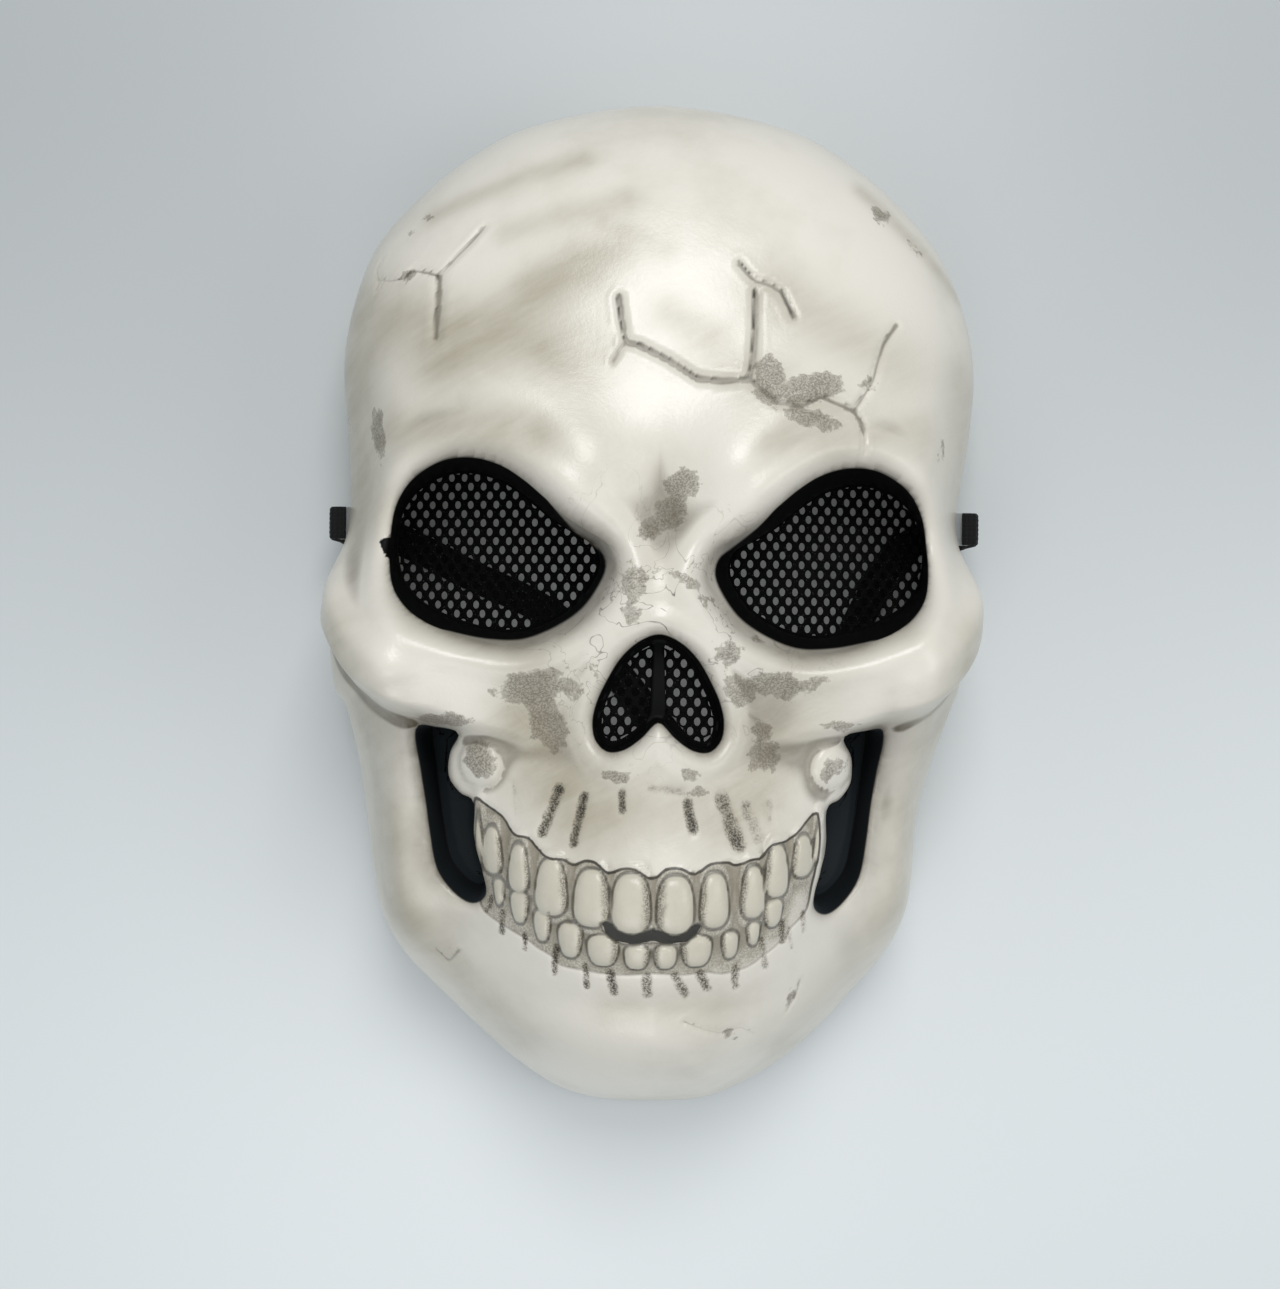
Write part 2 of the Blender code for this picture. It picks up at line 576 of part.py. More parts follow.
def wall_and_floor(verts, skin, faces, state, recess):
    """Add one recess: a wall from its outline down, then its floor with the holes cut out."""
    _, draw_in, floor, holes = recess
    inside = faces[(state[faces] <= 0).all(1)]
    used = np.unique(inside)
    loop = boundary_edges(inside)
    sunk = np.zeros_like(verts)
    sunk[used, :2] = draw_in(verts[used, :2])
    sunk[used, 2] = floor(sunk[used, :2])
    fresh = np.full(len(verts), -1)
    fresh[used] = len(verts) + np.arange(len(used))
    count = len(verts)
    low = fresh[inside]
    a, b = loop[:, 0], loop[:, 1]
    wall = np.vstack([np.column_stack([a, b, fresh[b]]), np.column_stack([a, fresh[b], fresh[a]])])
    verts = np.vstack([verts, sunk[used]])
    held = fresh[np.unique(loop)]
    for hole in holes:
        distance = np.full(len(verts), 99.0)
        outward = np.zeros((len(verts), 2))
        distance[count:], outward[count:] = outline_distance(verts[count:, :2], hole)
        edges = np.vstack([low[:, [0, 1]], low[:, [1, 2]], low[:, [2, 0]]])
        crossing = edges[distance[edges[:, 0]] * distance[edges[:, 1]] < 0]
        reach = np.abs(distance)
        reach[held] = 99.0
        chosen = np.unique(crossing[np.arange(len(crossing)), reach[crossing].argmin(1)])
        held = np.concatenate([held, chosen])
        verts[chosen, :2] -= outward[chosen] * distance[chosen][:, None]
        verts[chosen, 2] = floor(verts[chosen, :2])
        distance[chosen] = 0
        low = low[(distance[low] > 0).any(1)]
    return verts, np.vstack([skin, wall, low])


def thicken(verts, faces, wall):
    """Close a skin into a wall: its copy is drawn inward along the points' normals and joined on.

    A normal is the mean of its faces' normals, each weighted by its corner's angle, and the copy is
    drawn further in where those faces lean apart, so that the wall keeps its thickness.
    """
    cross = np.cross(verts[faces[:, 1]] - verts[faces[:, 0]], verts[faces[:, 2]] - verts[faces[:, 0]])
    cross /= np.maximum(np.linalg.norm(cross, axis=1), 1e-12)[:, None]
    normals = np.zeros_like(verts)
    for corner in range(3):
        here = verts[faces[:, corner]]
        ahead = verts[faces[:, (corner + 1) % 3]] - here
        behind = verts[faces[:, (corner + 2) % 3]] - here
        size = np.linalg.norm(ahead, axis=1) * np.linalg.norm(behind, axis=1)
        angle = np.arccos(np.clip((ahead * behind).sum(1) / np.maximum(size, 1e-12), -1, 1))
        np.add.at(normals, faces[:, corner], cross * angle[:, None])
    normals /= np.maximum(np.linalg.norm(normals, axis=1), 1e-12)[:, None]
    lean = np.ones(len(verts))
    for corner in range(3):
        np.minimum.at(lean, faces[:, corner], (normals[faces[:, corner]] * cross).sum(1))
    offset = normals * (wall / np.clip(lean, MITRE_LIMIT, 1))[:, None]
    edges = np.vstack([faces[:, [0, 1]], faces[:, [1, 2]], faces[:, [2, 0]]])
    total, near = offset.copy(), np.ones(len(verts))
    np.add.at(total, edges[:, 0], 0.25 * offset[edges[:, 1]])
    np.add.at(near, edges[:, 0], 0.25)
    inner = verts - total / near[:, None]
    rim = verts[:, 2] < RIM_ARCH_HEIGHT + 0.01
    edges = boundary_edges(faces)
    loose = np.zeros(len(verts), bool)
    loose[np.unique(edges)] = True
    inner[loose & rim, 2] = verts[loose & rim, 2]
    count = len(verts)
    a, b = edges[:, 0], edges[:, 1]
    side = np.vstack([np.column_stack([b, a, a + count]), np.column_stack([b, a + count, b + count])])
    return np.vstack([verts, inner]), np.vstack([faces, faces[:, ::-1] + count, side])


def make_object(name, verts, faces, colour, roughness):
    """One solid from points in millimetres, with its own plain material."""
    mesh = bpy.data.meshes.new(name)
    mesh.from_pydata((np.asarray(verts) * MM).tolist(), [], [list(face) for face in faces])
    mesh.validate()
    material = bpy.data.materials.new(name)
    material.use_nodes = True
    shader = material.node_tree.nodes["Principled BSDF"]
    shader.inputs["Base Color"].default_value = (*colour, 1.0)
    shader.inputs["Roughness"].default_value = roughness
    mesh.materials.append(material)
    item = bpy.data.objects.new(name, mesh)
    bpy.context.collection.objects.link(item)
    return item


def thinned(verts, faces, budget):
    """The skin with fewer triangles, collapsed where it is flattest, as points and triangles."""
    item = make_object("skin_guide", verts, faces, (1, 1, 1), 0.5)
    thin = item.modifiers.new("Thin", "DECIMATE")
    thin.ratio = budget / len(faces)
    result = item.evaluated_get(bpy.context.evaluated_depsgraph_get()).to_mesh()
    result.calc_loop_triangles()
    points = np.empty(len(result.vertices) * 3)
    result.vertices.foreach_get("co", points)
    corners = np.empty(len(result.loop_triangles) * 3, int)
    result.loop_triangles.foreach_get("vertices", corners)
    bpy.data.objects.remove(item)
    return points.reshape(-1, 3) / MM, corners.reshape(-1, 3)


def wall_place(side, y, z):
    """How far out from x = 0 the outer surface lies at a place on the temple's steep wall."""
    out = np.linspace(0.80, 1.06, 400) * HALF_WIDTH
    height = face_height(np.column_stack([side * out, np.full_like(out, y)]))
    return np.interp(-z, -height, out)


def tab_places():
    """Where a tab's head stands, where it leaves the shell and where it ends, all out from x = 0."""
    across = np.linspace(-0.5, 0.5, 5) * TAB_HEAD_WIDTH + TAB_Y
    wall = np.array([[wall_place(side, y, TAB_Z) for y in across] for side in (-1, 1)])
    head = wall.min() - 1.1 * SHELL_WALL - FITTING_GAP
    return head, wall[:, 2].mean(), wall[:, 2].mean() + TAB_OUTSIDE


def make_box(name, low, high):
    """A plain box, hidden from the finished model, that cuts a slit."""
    corners = np.array([(x, y, z) for x in (low[0], high[0]) for y in (low[1], high[1])
                        for z in (low[2], high[2])])
    faces = [(0, 1, 3, 2), (4, 6, 7, 5), (0, 4, 5, 1), (2, 3, 7, 6), (0, 2, 6, 4), (1, 5, 7, 3)]
    item = make_object(name, corners, faces, (1, 1, 1), 0.5)
    item.hide_render = True
    item.display_type = "WIRE"
    return item


def make_plate(name, outline, top, thickness, colour, roughness):
    """A flat or leaning plate: its outline at the height that top gives, and the same again below."""
    upper = np.column_stack([outline, top(outline)])
    lower = upper - np.array([0, 0, thickness])
    count = len(outline)
    ring = np.arange(count)
    after = np.roll(ring, -1)
    area = (outline[:, 0] * np.roll(outline[:, 1], -1) - np.roll(outline[:, 0], -1) * outline[:, 1]).sum()
    faces = [ring.tolist(), (ring[::-1] + count).tolist()]
    faces += np.column_stack([after, ring, ring + count, after + count]).tolist()
    if area < 0:
        faces = [face[::-1] for face in faces]
    return make_object(name, np.vstack([upper, lower]), faces, colour, roughness)


def make_meshes():
    """The black mesh panels, each glued under the flange of its recess."""
    drop = (SHELL_WALL + FITTING_GAP) * np.hypot(1, EYE_FLOOR_TILT)
    for side, name in ((-1, "eye_mesh_left"), (1, "eye_mesh_right")):
        outline = shrunk(eye_hole(side), -PANEL_MARGIN)[::3]
        make_plate(name, outline, lambda spot: eye_floor(spot) - drop, PANEL_THICKNESS,
                   (0.02, 0.02, 0.02), 0.8)
    outline = shrunk(nose_outline(), NOSE_WALL_INSET + NOSE_FLANGE - PANEL_MARGIN * 0.6)[::2]
    make_plate("nose_mesh", outline, lambda spot: nose_floor(spot) - SHELL_WALL - FITTING_GAP,
               PANEL_THICKNESS, (0.02, 0.02, 0.02), 0.8)


def make_tabs():
    """The clear tabs: a stem through the temple's slit and a wider head behind it."""
    for side, name in ((-1, "strap_tab_left"), (1, "strap_tab_right")):
        head, _, end = tab_places()
        stem, wide = TAB_WIDTH / 2, TAB_HEAD_WIDTH / 2
        back = head - TAB_HEAD_LENGTH
        outline = np.array([(back, -wide), (head, -wide), (head, -stem), (end, -stem),
                            (end, stem), (head, stem), (head, wide), (back, wide)])
        outline = outline * np.array([side, 1]) + np.array([0, TAB_Y])
        make_plate(name, outline, lambda spot: np.full(len(spot), TAB_Z + TAB_THICKNESS / 2),
                   TAB_THICKNESS, (0.80, 0.82, 0.80), 0.3)


def strap_route():
    """Centre line of the strap: over one tab, down outside, under the rim, across, and up again."""
    floor = STRAP_FLOOR_GAP + STRAP_THICKNESS / 2
    lifted = TAB_Z + TAB_THICKNESS / 2 + FITTING_GAP + STRAP_THICKNESS / 2
    ends = []
    for side in (-1, 1):
        _, wall, end = tab_places()
        turn = STRAP_TURN
        outs = [end - STRAP_OVERLAP, end - STRAP_OVERLAP / 2, end, end + turn * 0.8, end + turn,
                end + turn, end + turn, end + turn * 0.7, end - turn * 0.4, end - 2 * turn, wall - turn]
        ups = [lifted, lifted, lifted, lifted - turn * 0.35, lifted - turn * 1.2,
               (lifted + floor) / 2, floor + turn * 1.4, floor + turn * 0.35, floor, floor, floor]
        ends.append(np.column_stack([side * np.array(outs), np.full(len(outs), TAB_Y), ups]))
    middle = np.array(STRAP_ROWS) * np.array([HALF_WIDTH, HALF_LENGTH])
    middle = np.column_stack([middle, np.full(len(middle), floor)])
    points = np.vstack([ends[0], middle, ends[1][::-1]])
    along = np.concatenate([[0], np.cumsum(np.linalg.norm(np.diff(points, axis=0), axis=1))])
    places = np.linspace(0, along[-1], 900)
    dense = np.column_stack([smooth_table(places, along, points[:, axis]) for axis in range(3)])
    bend = np.linalg.norm(np.gradient(np.gradient(dense, axis=0), axis=0), axis=1)
    weight = np.concatenate([[0], np.cumsum(1 + 60 * bend[1:] / bend.max())])
    return dense, np.interp(np.linspace(0, weight[-1], STRAP_STATIONS), weight, places), places


def make_strap():
    """The flat elastic, its section carried along the route with its width kept level."""
    dense, stations, places = strap_route()
    centre = np.column_stack([np.interp(stations, places, dense[:, axis]) for axis in range(3)])
    heading = np.gradient(dense, axis=0)
    heading = np.column_stack([np.interp(stations, places, heading[:, axis]) for axis in range(3)])
    heading /= np.linalg.norm(heading, axis=1)[:, None]
    level = np.column_stack([-heading[:, 1], np.abs(heading[:, 0]) + 0.02, np.zeros(len(heading))])
    level /= np.linalg.norm(level, axis=1)[:, None]
    thick = np.cross(heading, level)
    thick /= np.linalg.norm(thick, axis=1)[:, None]
    wide, deep = level * STRAP_WIDTH / 2, thick * STRAP_THICKNESS / 2
    rings = np.stack([centre - wide - deep, centre + wide - deep, centre + wide + deep,
                      centre - wide + deep], 1)
    count = len(rings)
    index = np.arange(count * 4).reshape(count, 4)
    after = np.roll(index, -1, 1)
    sides = np.stack([index[:-1], after[:-1], after[1:], index[1:]], -1).reshape(-1, 4)
    faces = sides.tolist() + [index[0][::-1].tolist(), index[-1].tolist()]
    return make_object("head_strap", rings.reshape(-1, 3), faces, (0.015, 0.015, 0.015), 0.85)


def make_shell():
    """The formed face, with a slit cut through each temple for the strap's tab."""
    verts, skin, faces, lids = outer_skin()
    for state, recess in zip(lids, recesses()):
        state = np.concatenate([state, np.ones(len(verts) - len(state), int)])
        verts, skin = wall_and_floor(verts, skin, faces, state, recess)
    used = np.unique(skin)
    renumber = np.full(len(verts), -1)
    renumber[used] = np.arange(len(used))
    verts, skin = thinned(verts[used], renumber[skin], SHELL_FACE_BUDGET)
    low = np.unique(boundary_edges(skin))
    low = low[verts[low, 2] < RIM_ARCH_HEIGHT + 0.5]
    verts[low, 2] = face_height(verts[low, :2] * 1.02)
    verts, skin = thicken(verts, skin, SHELL_WALL)
    shell = make_object("mask_shell", verts, skin, (0.72, 0.68, 0.60), 0.25)
    for side in (-1, 1):
        _, wall, _ = tab_places()
        inner, outer = sorted((side * (wall - 4 * SHELL_WALL), side * (wall + 3 * SHELL_WALL)))
        tall, long = TAB_THICKNESS / 2 + SLIT_CLEARANCE, TAB_WIDTH / 2 + SLIT_CLEARANCE
        cut = shell.modifiers.new("Strap slit", "BOOLEAN")
        cut.operation = "DIFFERENCE"
        cut.object = make_box("slit_cutter", (inner, TAB_Y - long, TAB_Z - tall),
                              (outer, TAB_Y + long, TAB_Z + tall))
    return shell


def main():
    """Build the mask from nothing."""
    clear_scene()
    make_shell()
    make_meshes()
    make_tabs()
    make_strap()


main()
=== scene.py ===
"""Skull mask: the formed and painted face, its mesh panels, clear tabs and elastic strap, and the stage.

Sizes are worked out in millimetres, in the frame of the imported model, and become metres when a mesh is
made. X runs across the face, Y from chin to crown, Z out of the face, and z = 0 is the plane of the rim.
"""

import bpy
import numpy as np
from bpy.props import FloatProperty, FloatVectorProperty, IntProperty, PointerProperty
from mathutils import Matrix, Vector


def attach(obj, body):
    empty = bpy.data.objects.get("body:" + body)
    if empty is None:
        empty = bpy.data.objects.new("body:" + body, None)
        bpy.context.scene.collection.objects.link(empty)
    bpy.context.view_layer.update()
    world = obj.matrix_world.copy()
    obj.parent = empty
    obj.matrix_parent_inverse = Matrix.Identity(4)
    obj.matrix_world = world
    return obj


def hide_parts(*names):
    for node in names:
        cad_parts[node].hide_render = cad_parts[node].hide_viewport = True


bl_info = {
    "name": "Skull Mask",
    "version": (1, 0, 0),
    "blender": (4, 5, 0),
    "location": "3D View > Sidebar > Mask",
    "description": "Builds a formed skull mask with mesh eyes and an elastic strap",
    "category": "Object",
}

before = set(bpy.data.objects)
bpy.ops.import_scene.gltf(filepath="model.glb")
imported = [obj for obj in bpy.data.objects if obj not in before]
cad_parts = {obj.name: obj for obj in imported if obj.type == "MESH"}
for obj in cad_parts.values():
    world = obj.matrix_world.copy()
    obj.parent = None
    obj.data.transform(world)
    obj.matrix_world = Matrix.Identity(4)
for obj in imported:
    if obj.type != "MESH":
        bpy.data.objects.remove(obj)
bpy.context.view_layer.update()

MM = 0.001

# Overall size of the formed face, and where its parts are
MASK_LENGTH = 284.0
MASK_WIDTH = 181.0
MASK_DEPTH = 87.0
SHELL_WALL = 1.5
MIDLINE_X = 0.5
HALF_LENGTH = MASK_LENGTH / 2
HALF_WIDTH = MASK_WIDTH / 2

# Eye sockets: their centres, left and right, their width and height, and the height and outward slope of
# their floors
EYE_CENTRES = ((-38.9, 14.8), (40.3, 13.2))
EYE_SIZE = (57.2, 46.8)
EYE_FLOOR_Z = 54.0
EYE_FLOOR_TILT = 0.22

# How far the foot of each eye socket's wall, and the hole in its floor, are drawn in from the outline, left
# and right: at the outer side, the inner side, the top and the bottom
EYE_FOOT = ((-1.2, 4.2, 0.5, 4.0), (-2.6, 6.8, 1.3, 4.8))
EYE_HOLE = ((-0.8, 5.0, 1.0, 4.8), (-2.2, 7.5, 1.8, 5.6))

NOSE_TOP_Y = -5.0
NOSE_SIZE = (32.0, 28.5)
NOSE_FLOOR_Z = 77.5
NOSE_WALL_INSET = 0.9
NOSE_FLANGE = 0.9
SEPTUM_WIDTH = 2.8

# Cheek pockets: their centres and then their widths and heights, left and right
POCKET_CENTRES = ((-51.3, -51.7), (49.3, -52.8))
POCKET_SIZES = ((18.9, 44.6), (18.6, 46.8))
POCKET_FLOOR_Z = 40.0
POCKET_WALL_INSET = 1.6

BALL_CENTRE = (43.9, -37.7)
BALL_RADIUS = 6.1
BALL_RISE = 3.8

# Rolled edges round the recesses: height of the roll, its distance and spread, then the fall at the very
# edge and how fast that fades
EYE_ROLL = (2.4, 4.5, 4.0, 2.2, 1.3)
NOSE_ROLL = (1.2, 3.2, 2.6, 1.4, 0.9)
POCKET_ROLL = (0.0, 4.0, 3.0, 1.6, 1.2)
ROLL_REACH = 16.0

# Mesh panels: their thickness, how far they reach past their hole, how much is trimmed off, where their
# holes stop, how far in the plain band along their edge reaches, and the gap to what they are fitted on
PANEL_THICKNESS = 1.0
PANEL_MARGIN = 3.2
PANEL_TRIM = 0.1
PANEL_BAND = 1.6
PANEL_BAND_REACH = 2.2
FITTING_GAP = 0.3

TAB_Y = 25.5
TAB_Z = 28.0
TAB_WIDTH = 9.0
TAB_THICKNESS = 0.9
TAB_OUTSIDE = 3.8
TAB_HEAD_WIDTH = 13.0
TAB_HEAD_LENGTH = 3.0
TAB_CORNER = 0.9
TAB_EDGE = 0.18

STRAP_WIDTH = 9.0
STRAP_THICKNESS = 1.2
STRAP_OVERLAP = 2.4
STRAP_TURN = 2.0
STRAP_FLOOR_GAP = 0.3
STRAP_STATIONS = 420
STRAP_COLUMNS = 25

RIM_ARCH_HEIGHT = 4.6
RIM_ARCH_LENGTH = 13.0

TOOTH_RISE = 1.9
TOOTH_FULL_WIDTH = 4.0
TOOTH_TAPER = (0.12, 0.5)
TOOTH_GROOVE = 0.35
JAW_STEP = 1.5
GUM_RISE = 0.9

# Corners of the region in which the teeth and the bone beside them are worked out
MOUTH_REGION = ((-62.0, -104.0), (58.0, -32.0))

# The stage, in metres: how far the floor reaches, where its colour starts and stops to change up the face,
# and each light's name, place, size and power as a share of the large soft light's
FLOOR_REACH = 1.5
# The floor's colour darkens from the chin towards the crown: painted shade, for light falling off across it
FLOOR_FADE = (-0.18, 0.17)
SKY_COLOUR = (225, 232, 238)
SKY_STRENGTH = 0.55
LIGHTS = [
    ("key_light", (0.05, 0.40, 0.74), 0.34, 1.0), ("side_light", (0.60, -0.05, 0.66), 0.34, 0.25),
    ("low_light", (-0.12, -0.50, 0.66), 0.44, 0.38), ("hidden_fill", (0.0, -0.01, 0.042), 0.13, 0.0036),
]

# The camera: its place over the floor in metres, its lean and roll in degrees, its focal length and the
# picture's height in pixels, and the height of its sensor in millimetres
CAMERA_PLACE = (-0.0070, -0.0075)
CAMERA_LEAN = 0.44
CAMERA_ROLL = 0.57
FOCAL_LENGTH_PIXELS = 1541
PICTURE_HEIGHT_PIXELS = 1289
SENSOR_HEIGHT = 36.0

# Mesh fineness of the face
GRID_COLUMNS = 236
GRID_ROWS = 322
LINING_SHARE = 0.14
WALL_RINGS = (0.05, 0.14, 0.32, 0.56, 0.80, 0.95, 1.0)

# Rim outline: height up the face as a share of half the length, then the half-widths of the left and
# the right side as shares of half the width
RIM_ROWS = [
    (1.000, 0.000, 0.000), (0.986, 0.215, 0.215), (0.951, 0.430, 0.430), (0.901, 0.575, 0.575),
    (0.831, 0.718, 0.718), (0.732, 0.862, 0.862), (0.620, 0.938, 0.950), (0.493, 0.972, 0.992),
    (0.345, 0.958, 0.978), (0.180, 0.945, 0.935), (0.035, 0.990, 0.978), (-0.127, 1.000, 0.960),
    (-0.190, 0.961, 0.934), (-0.310, 0.928, 0.884), (-0.412, 0.910, 0.850), (-0.525, 0.888, 0.834),
    (-0.601, 0.862, 0.810), (-0.675, 0.798, 0.755), (-0.752, 0.695, 0.668), (-0.835, 0.566, 0.556),
    (-0.911, 0.433, 0.424), (-0.968, 0.300, 0.277), (-0.994, 0.170, 0.160), (-1.000, 0.000, 0.000),
]

# Depth of the plain dome at each height: share of half the length, share of the mask's depth
DEPTH_ROWS = [
    (-1.00, 1.195), (-0.90, 1.270), (-0.80, 1.250), (-0.70, 1.195), (-0.62, 1.130), (-0.53, 1.100),
    (-0.42, 1.055), (-0.33, 1.025), (-0.20, 1.010), (-0.05, 0.995), (0.10, 0.985), (0.30, 0.995),
    (0.56, 1.000), (0.80, 1.055), (1.00, 1.065),
]

# How the dome rounds off towards the rim: angle from the crown in degrees, then its two exponents
ROUNDING_ROWS = [
    (0, 2.50, 3.35), (50, 2.42, 3.05), (75, 2.50, 3.20), (90, 2.60, 3.50), (102, 2.80, 2.80),
    (116, 3.00, 2.20), (137, 2.80, 1.75), (160, 3.20, 1.35), (180, 4.00, 1.20),
]

# Eye socket outline for the right side: shares of half its width, outward, and half its height, upward
EYE_ROWS = [
    (1.00, 0.16), (0.95, 0.50), (0.785, 0.785), (0.52, 0.965), (0.25, 0.99), (0.00, 0.905),
    (-0.20, 0.755), (-0.38, 0.57), (-0.565, 0.375), (-0.76, 0.225), (-0.93, 0.09), (-1.00, -0.12),
    (-0.95, -0.35), (-0.77, -0.665), (-0.50, -0.885), (-0.20, -1.00), (0.10, -0.97), (0.36, -0.88),
    (0.60, -0.755), (0.79, -0.60), (0.93, -0.38), (0.99, -0.12),
]

# Nose outline for the right half: share of half its width outward, share of its height downward
NOSE_ROWS = [
    (0.00, 0.00), (0.20, 0.03), (0.42, 0.11), (0.62, 0.235), (0.79, 0.40), (0.93, 0.57), (1.00, 0.74),
    (0.96, 0.90), (0.78, 1.00), (0.52, 0.985), (0.25, 0.88), (0.06, 0.765),
]

# Cheek pocket outline for the right side: shares of half its width outward and half its height upward
POCKET_ROWS = [
    (1.00, 1.00), (0.92, 0.50), (0.80, 0.10), (0.69, -0.22), (0.46, -0.64), (-0.04, -0.91),
    (-0.55, -1.00), (-0.95, -0.86), (-0.80, -0.50), (-0.62, -0.20), (-0.62, 0.18), (-0.20, 0.28),
    (0.12, 0.46), (0.05, 0.74), (-0.22, 0.97), (0.40, 1.03),
]

# Lower edge of the cheekbone: distance out from the midline and height, as shares of half the width
# and half the length, and how far the bone stands proud there, as a share of the depth
CHEEK_ROWS = [
    (0.20, -0.235, 0.00), (0.36, -0.232, 0.02), (0.50, -0.215, 0.07), (0.60, -0.197, 0.12),
    (0.70, -0.182, 0.155), (0.80, -0.152, 0.180), (0.88, -0.108, 0.205), (0.94, -0.055, 0.215),
    (1.00, 0.000, 0.215),
]

# Rounded swells and hollows, mirrored to both sides: place out and up as shares of half the width and
# half the length, spread across and along likewise, turn in degrees, and height as a share of the depth
SWELL_ROWS = [
    (0.205, 0.235, 0.100, 0.055, 35, 0.055), (0.440, 0.372, 0.220, 0.060, 24, 0.050),
    (0.760, 0.275, 0.075, 0.095, 0, 0.035), (0.000, 0.170, 0.070, 0.070, 0, -0.050),
    (0.000, 0.040, 0.075, 0.090, 0, 0.050), (0.300, -0.215, 0.110, 0.060, -35, -0.050),
    (0.900, 0.330, 0.080, 0.110, 0, -0.060), (0.000, -0.800, 0.260, 0.060, 0, 0.022),
    (0.000, -0.680, 0.330, 0.030, 0, -0.028), (0.250, 0.620, 0.300, 0.200, 0, 0.012),
    (0.480, -0.420, 0.070, 0.150, 8, -0.035), (0.720, -0.370, 0.150, 0.170, 0, -0.170),
    (0.757, -0.370, 0.074, 0.220, 0, 0.155), (0.690, -0.550, 0.080, 0.090, 0, 0.060),
]

# Upper teeth from left to right: centre, width, gum height and tip height as shares of half the width
# and half the length
UPPER_TEETH = [
    (-0.487, 0.025, -0.358, -0.446), (-0.446, 0.067, -0.372, -0.458), (-0.368, 0.065, -0.397, -0.483),
    (-0.277, 0.097, -0.418, -0.518), (-0.168, 0.105, -0.432, -0.532), (-0.063, 0.110, -0.437, -0.540),
    (0.054, 0.105, -0.440, -0.540), (0.158, 0.084, -0.436, -0.532), (0.263, 0.072, -0.427, -0.519),
    (0.329, 0.074, -0.392, -0.486), (0.405, 0.069, -0.380, -0.455), (0.452, 0.027, -0.367, -0.438),
]

# Lower teeth from left to right, in the same columns
LOWER_TEETH = [
    (-0.426, 0.038, -0.464, -0.514), (-0.366, 0.058, -0.480, -0.540), (-0.302, 0.052, -0.508, -0.568),
    (-0.225, 0.072, -0.527, -0.592), (-0.137, 0.090, -0.545, -0.602), (-0.047, 0.069, -0.560, -0.605),
    (0.030, 0.063, -0.559, -0.603), (0.113, 0.087, -0.543, -0.601), (0.204, 0.049, -0.540, -0.590),
    (0.268, 0.040, -0.525, -0.570), (0.322, 0.060, -0.487, -0.540),
]

# Edge of the bone round the mouth, in millimetres: the scalloped gum line from left to right, and then
# the line under the lower teeth from right to left
MOUTH = [
    (-45.1, -46.4), (-41.9, -47.9), (-37.5, -50.5), (-34.8, -54.2), (-31.0, -54.9), (-28.4, -57.5),
    (-25.8, -59.3), (-22.2, -59.5), (-19.7, -60.9), (-17.2, -59.7), (-14.3, -59.9), (-11.1, -62.3),
    (-8.0, -61.1), (-4.8, -61.2), (-0.6, -63.4), (2.6, -61.1), (6.1, -60.9), (9.6, -62.4), (13.2, -60.0),
    (17.5, -59.8), (19.7, -60.6), (23.3, -59.2), (25.9, -58.9), (28.2, -56.0), (33.0, -54.9),
    (37.0, -51.6), (40.6, -49.0), (41.3, -57.6), (39.8, -66.0), (38.4, -73.3), (34.4, -77.3),
    (30.7, -81.5), (27.0, -84.2), (24.0, -86.2), (20.3, -87.3), (16.6, -87.7), (12.2, -86.9),
    (7.2, -87.4), (0.1, -86.9), (-6.3, -87.5), (-12.0, -87.5), (-16.3, -87.1), (-22.9, -86.4),
    (-25.1, -84.3), (-28.8, -82.5), (-31.1, -80.9), (-35.6, -78.9), (-40.4, -76.7), (-43.8, -73.7),
    (-45.3, -64.7), (-45.9, -55.7),
]

# Mouth slit, in millimetres: its upper edge follows the tips of the upper teeth
SLIT = [
    (-12.9, -74.3), (-10.3, -74.4), (-9.1, -76.0), (-5.4, -77.1), (-2.2, -76.1), (-0.5, -75.5),
    (1.7, -76.1), (4.5, -77.2), (7.7, -76.3), (9.2, -74.6), (11.2, -74.6), (10.4, -76.6), (8.3, -78.1),
    (6.3, -79.3), (-0.4, -78.9), (-7.1, -79.5), (-9.6, -78.4), (-11.7, -76.9),
]

# Strap route on the surface under the mask, from left to right: shares of half the width and length
STRAP_ROWS = [
    (-0.790, 0.150), (-0.600, 0.090), (-0.350, 0.015), (-0.150, -0.090), (0.000, -0.200),
    (0.140, -0.290), (0.300, -0.310), (0.460, -0.240), (0.600, -0.100), (0.700, 0.030), (0.790, 0.130),
]

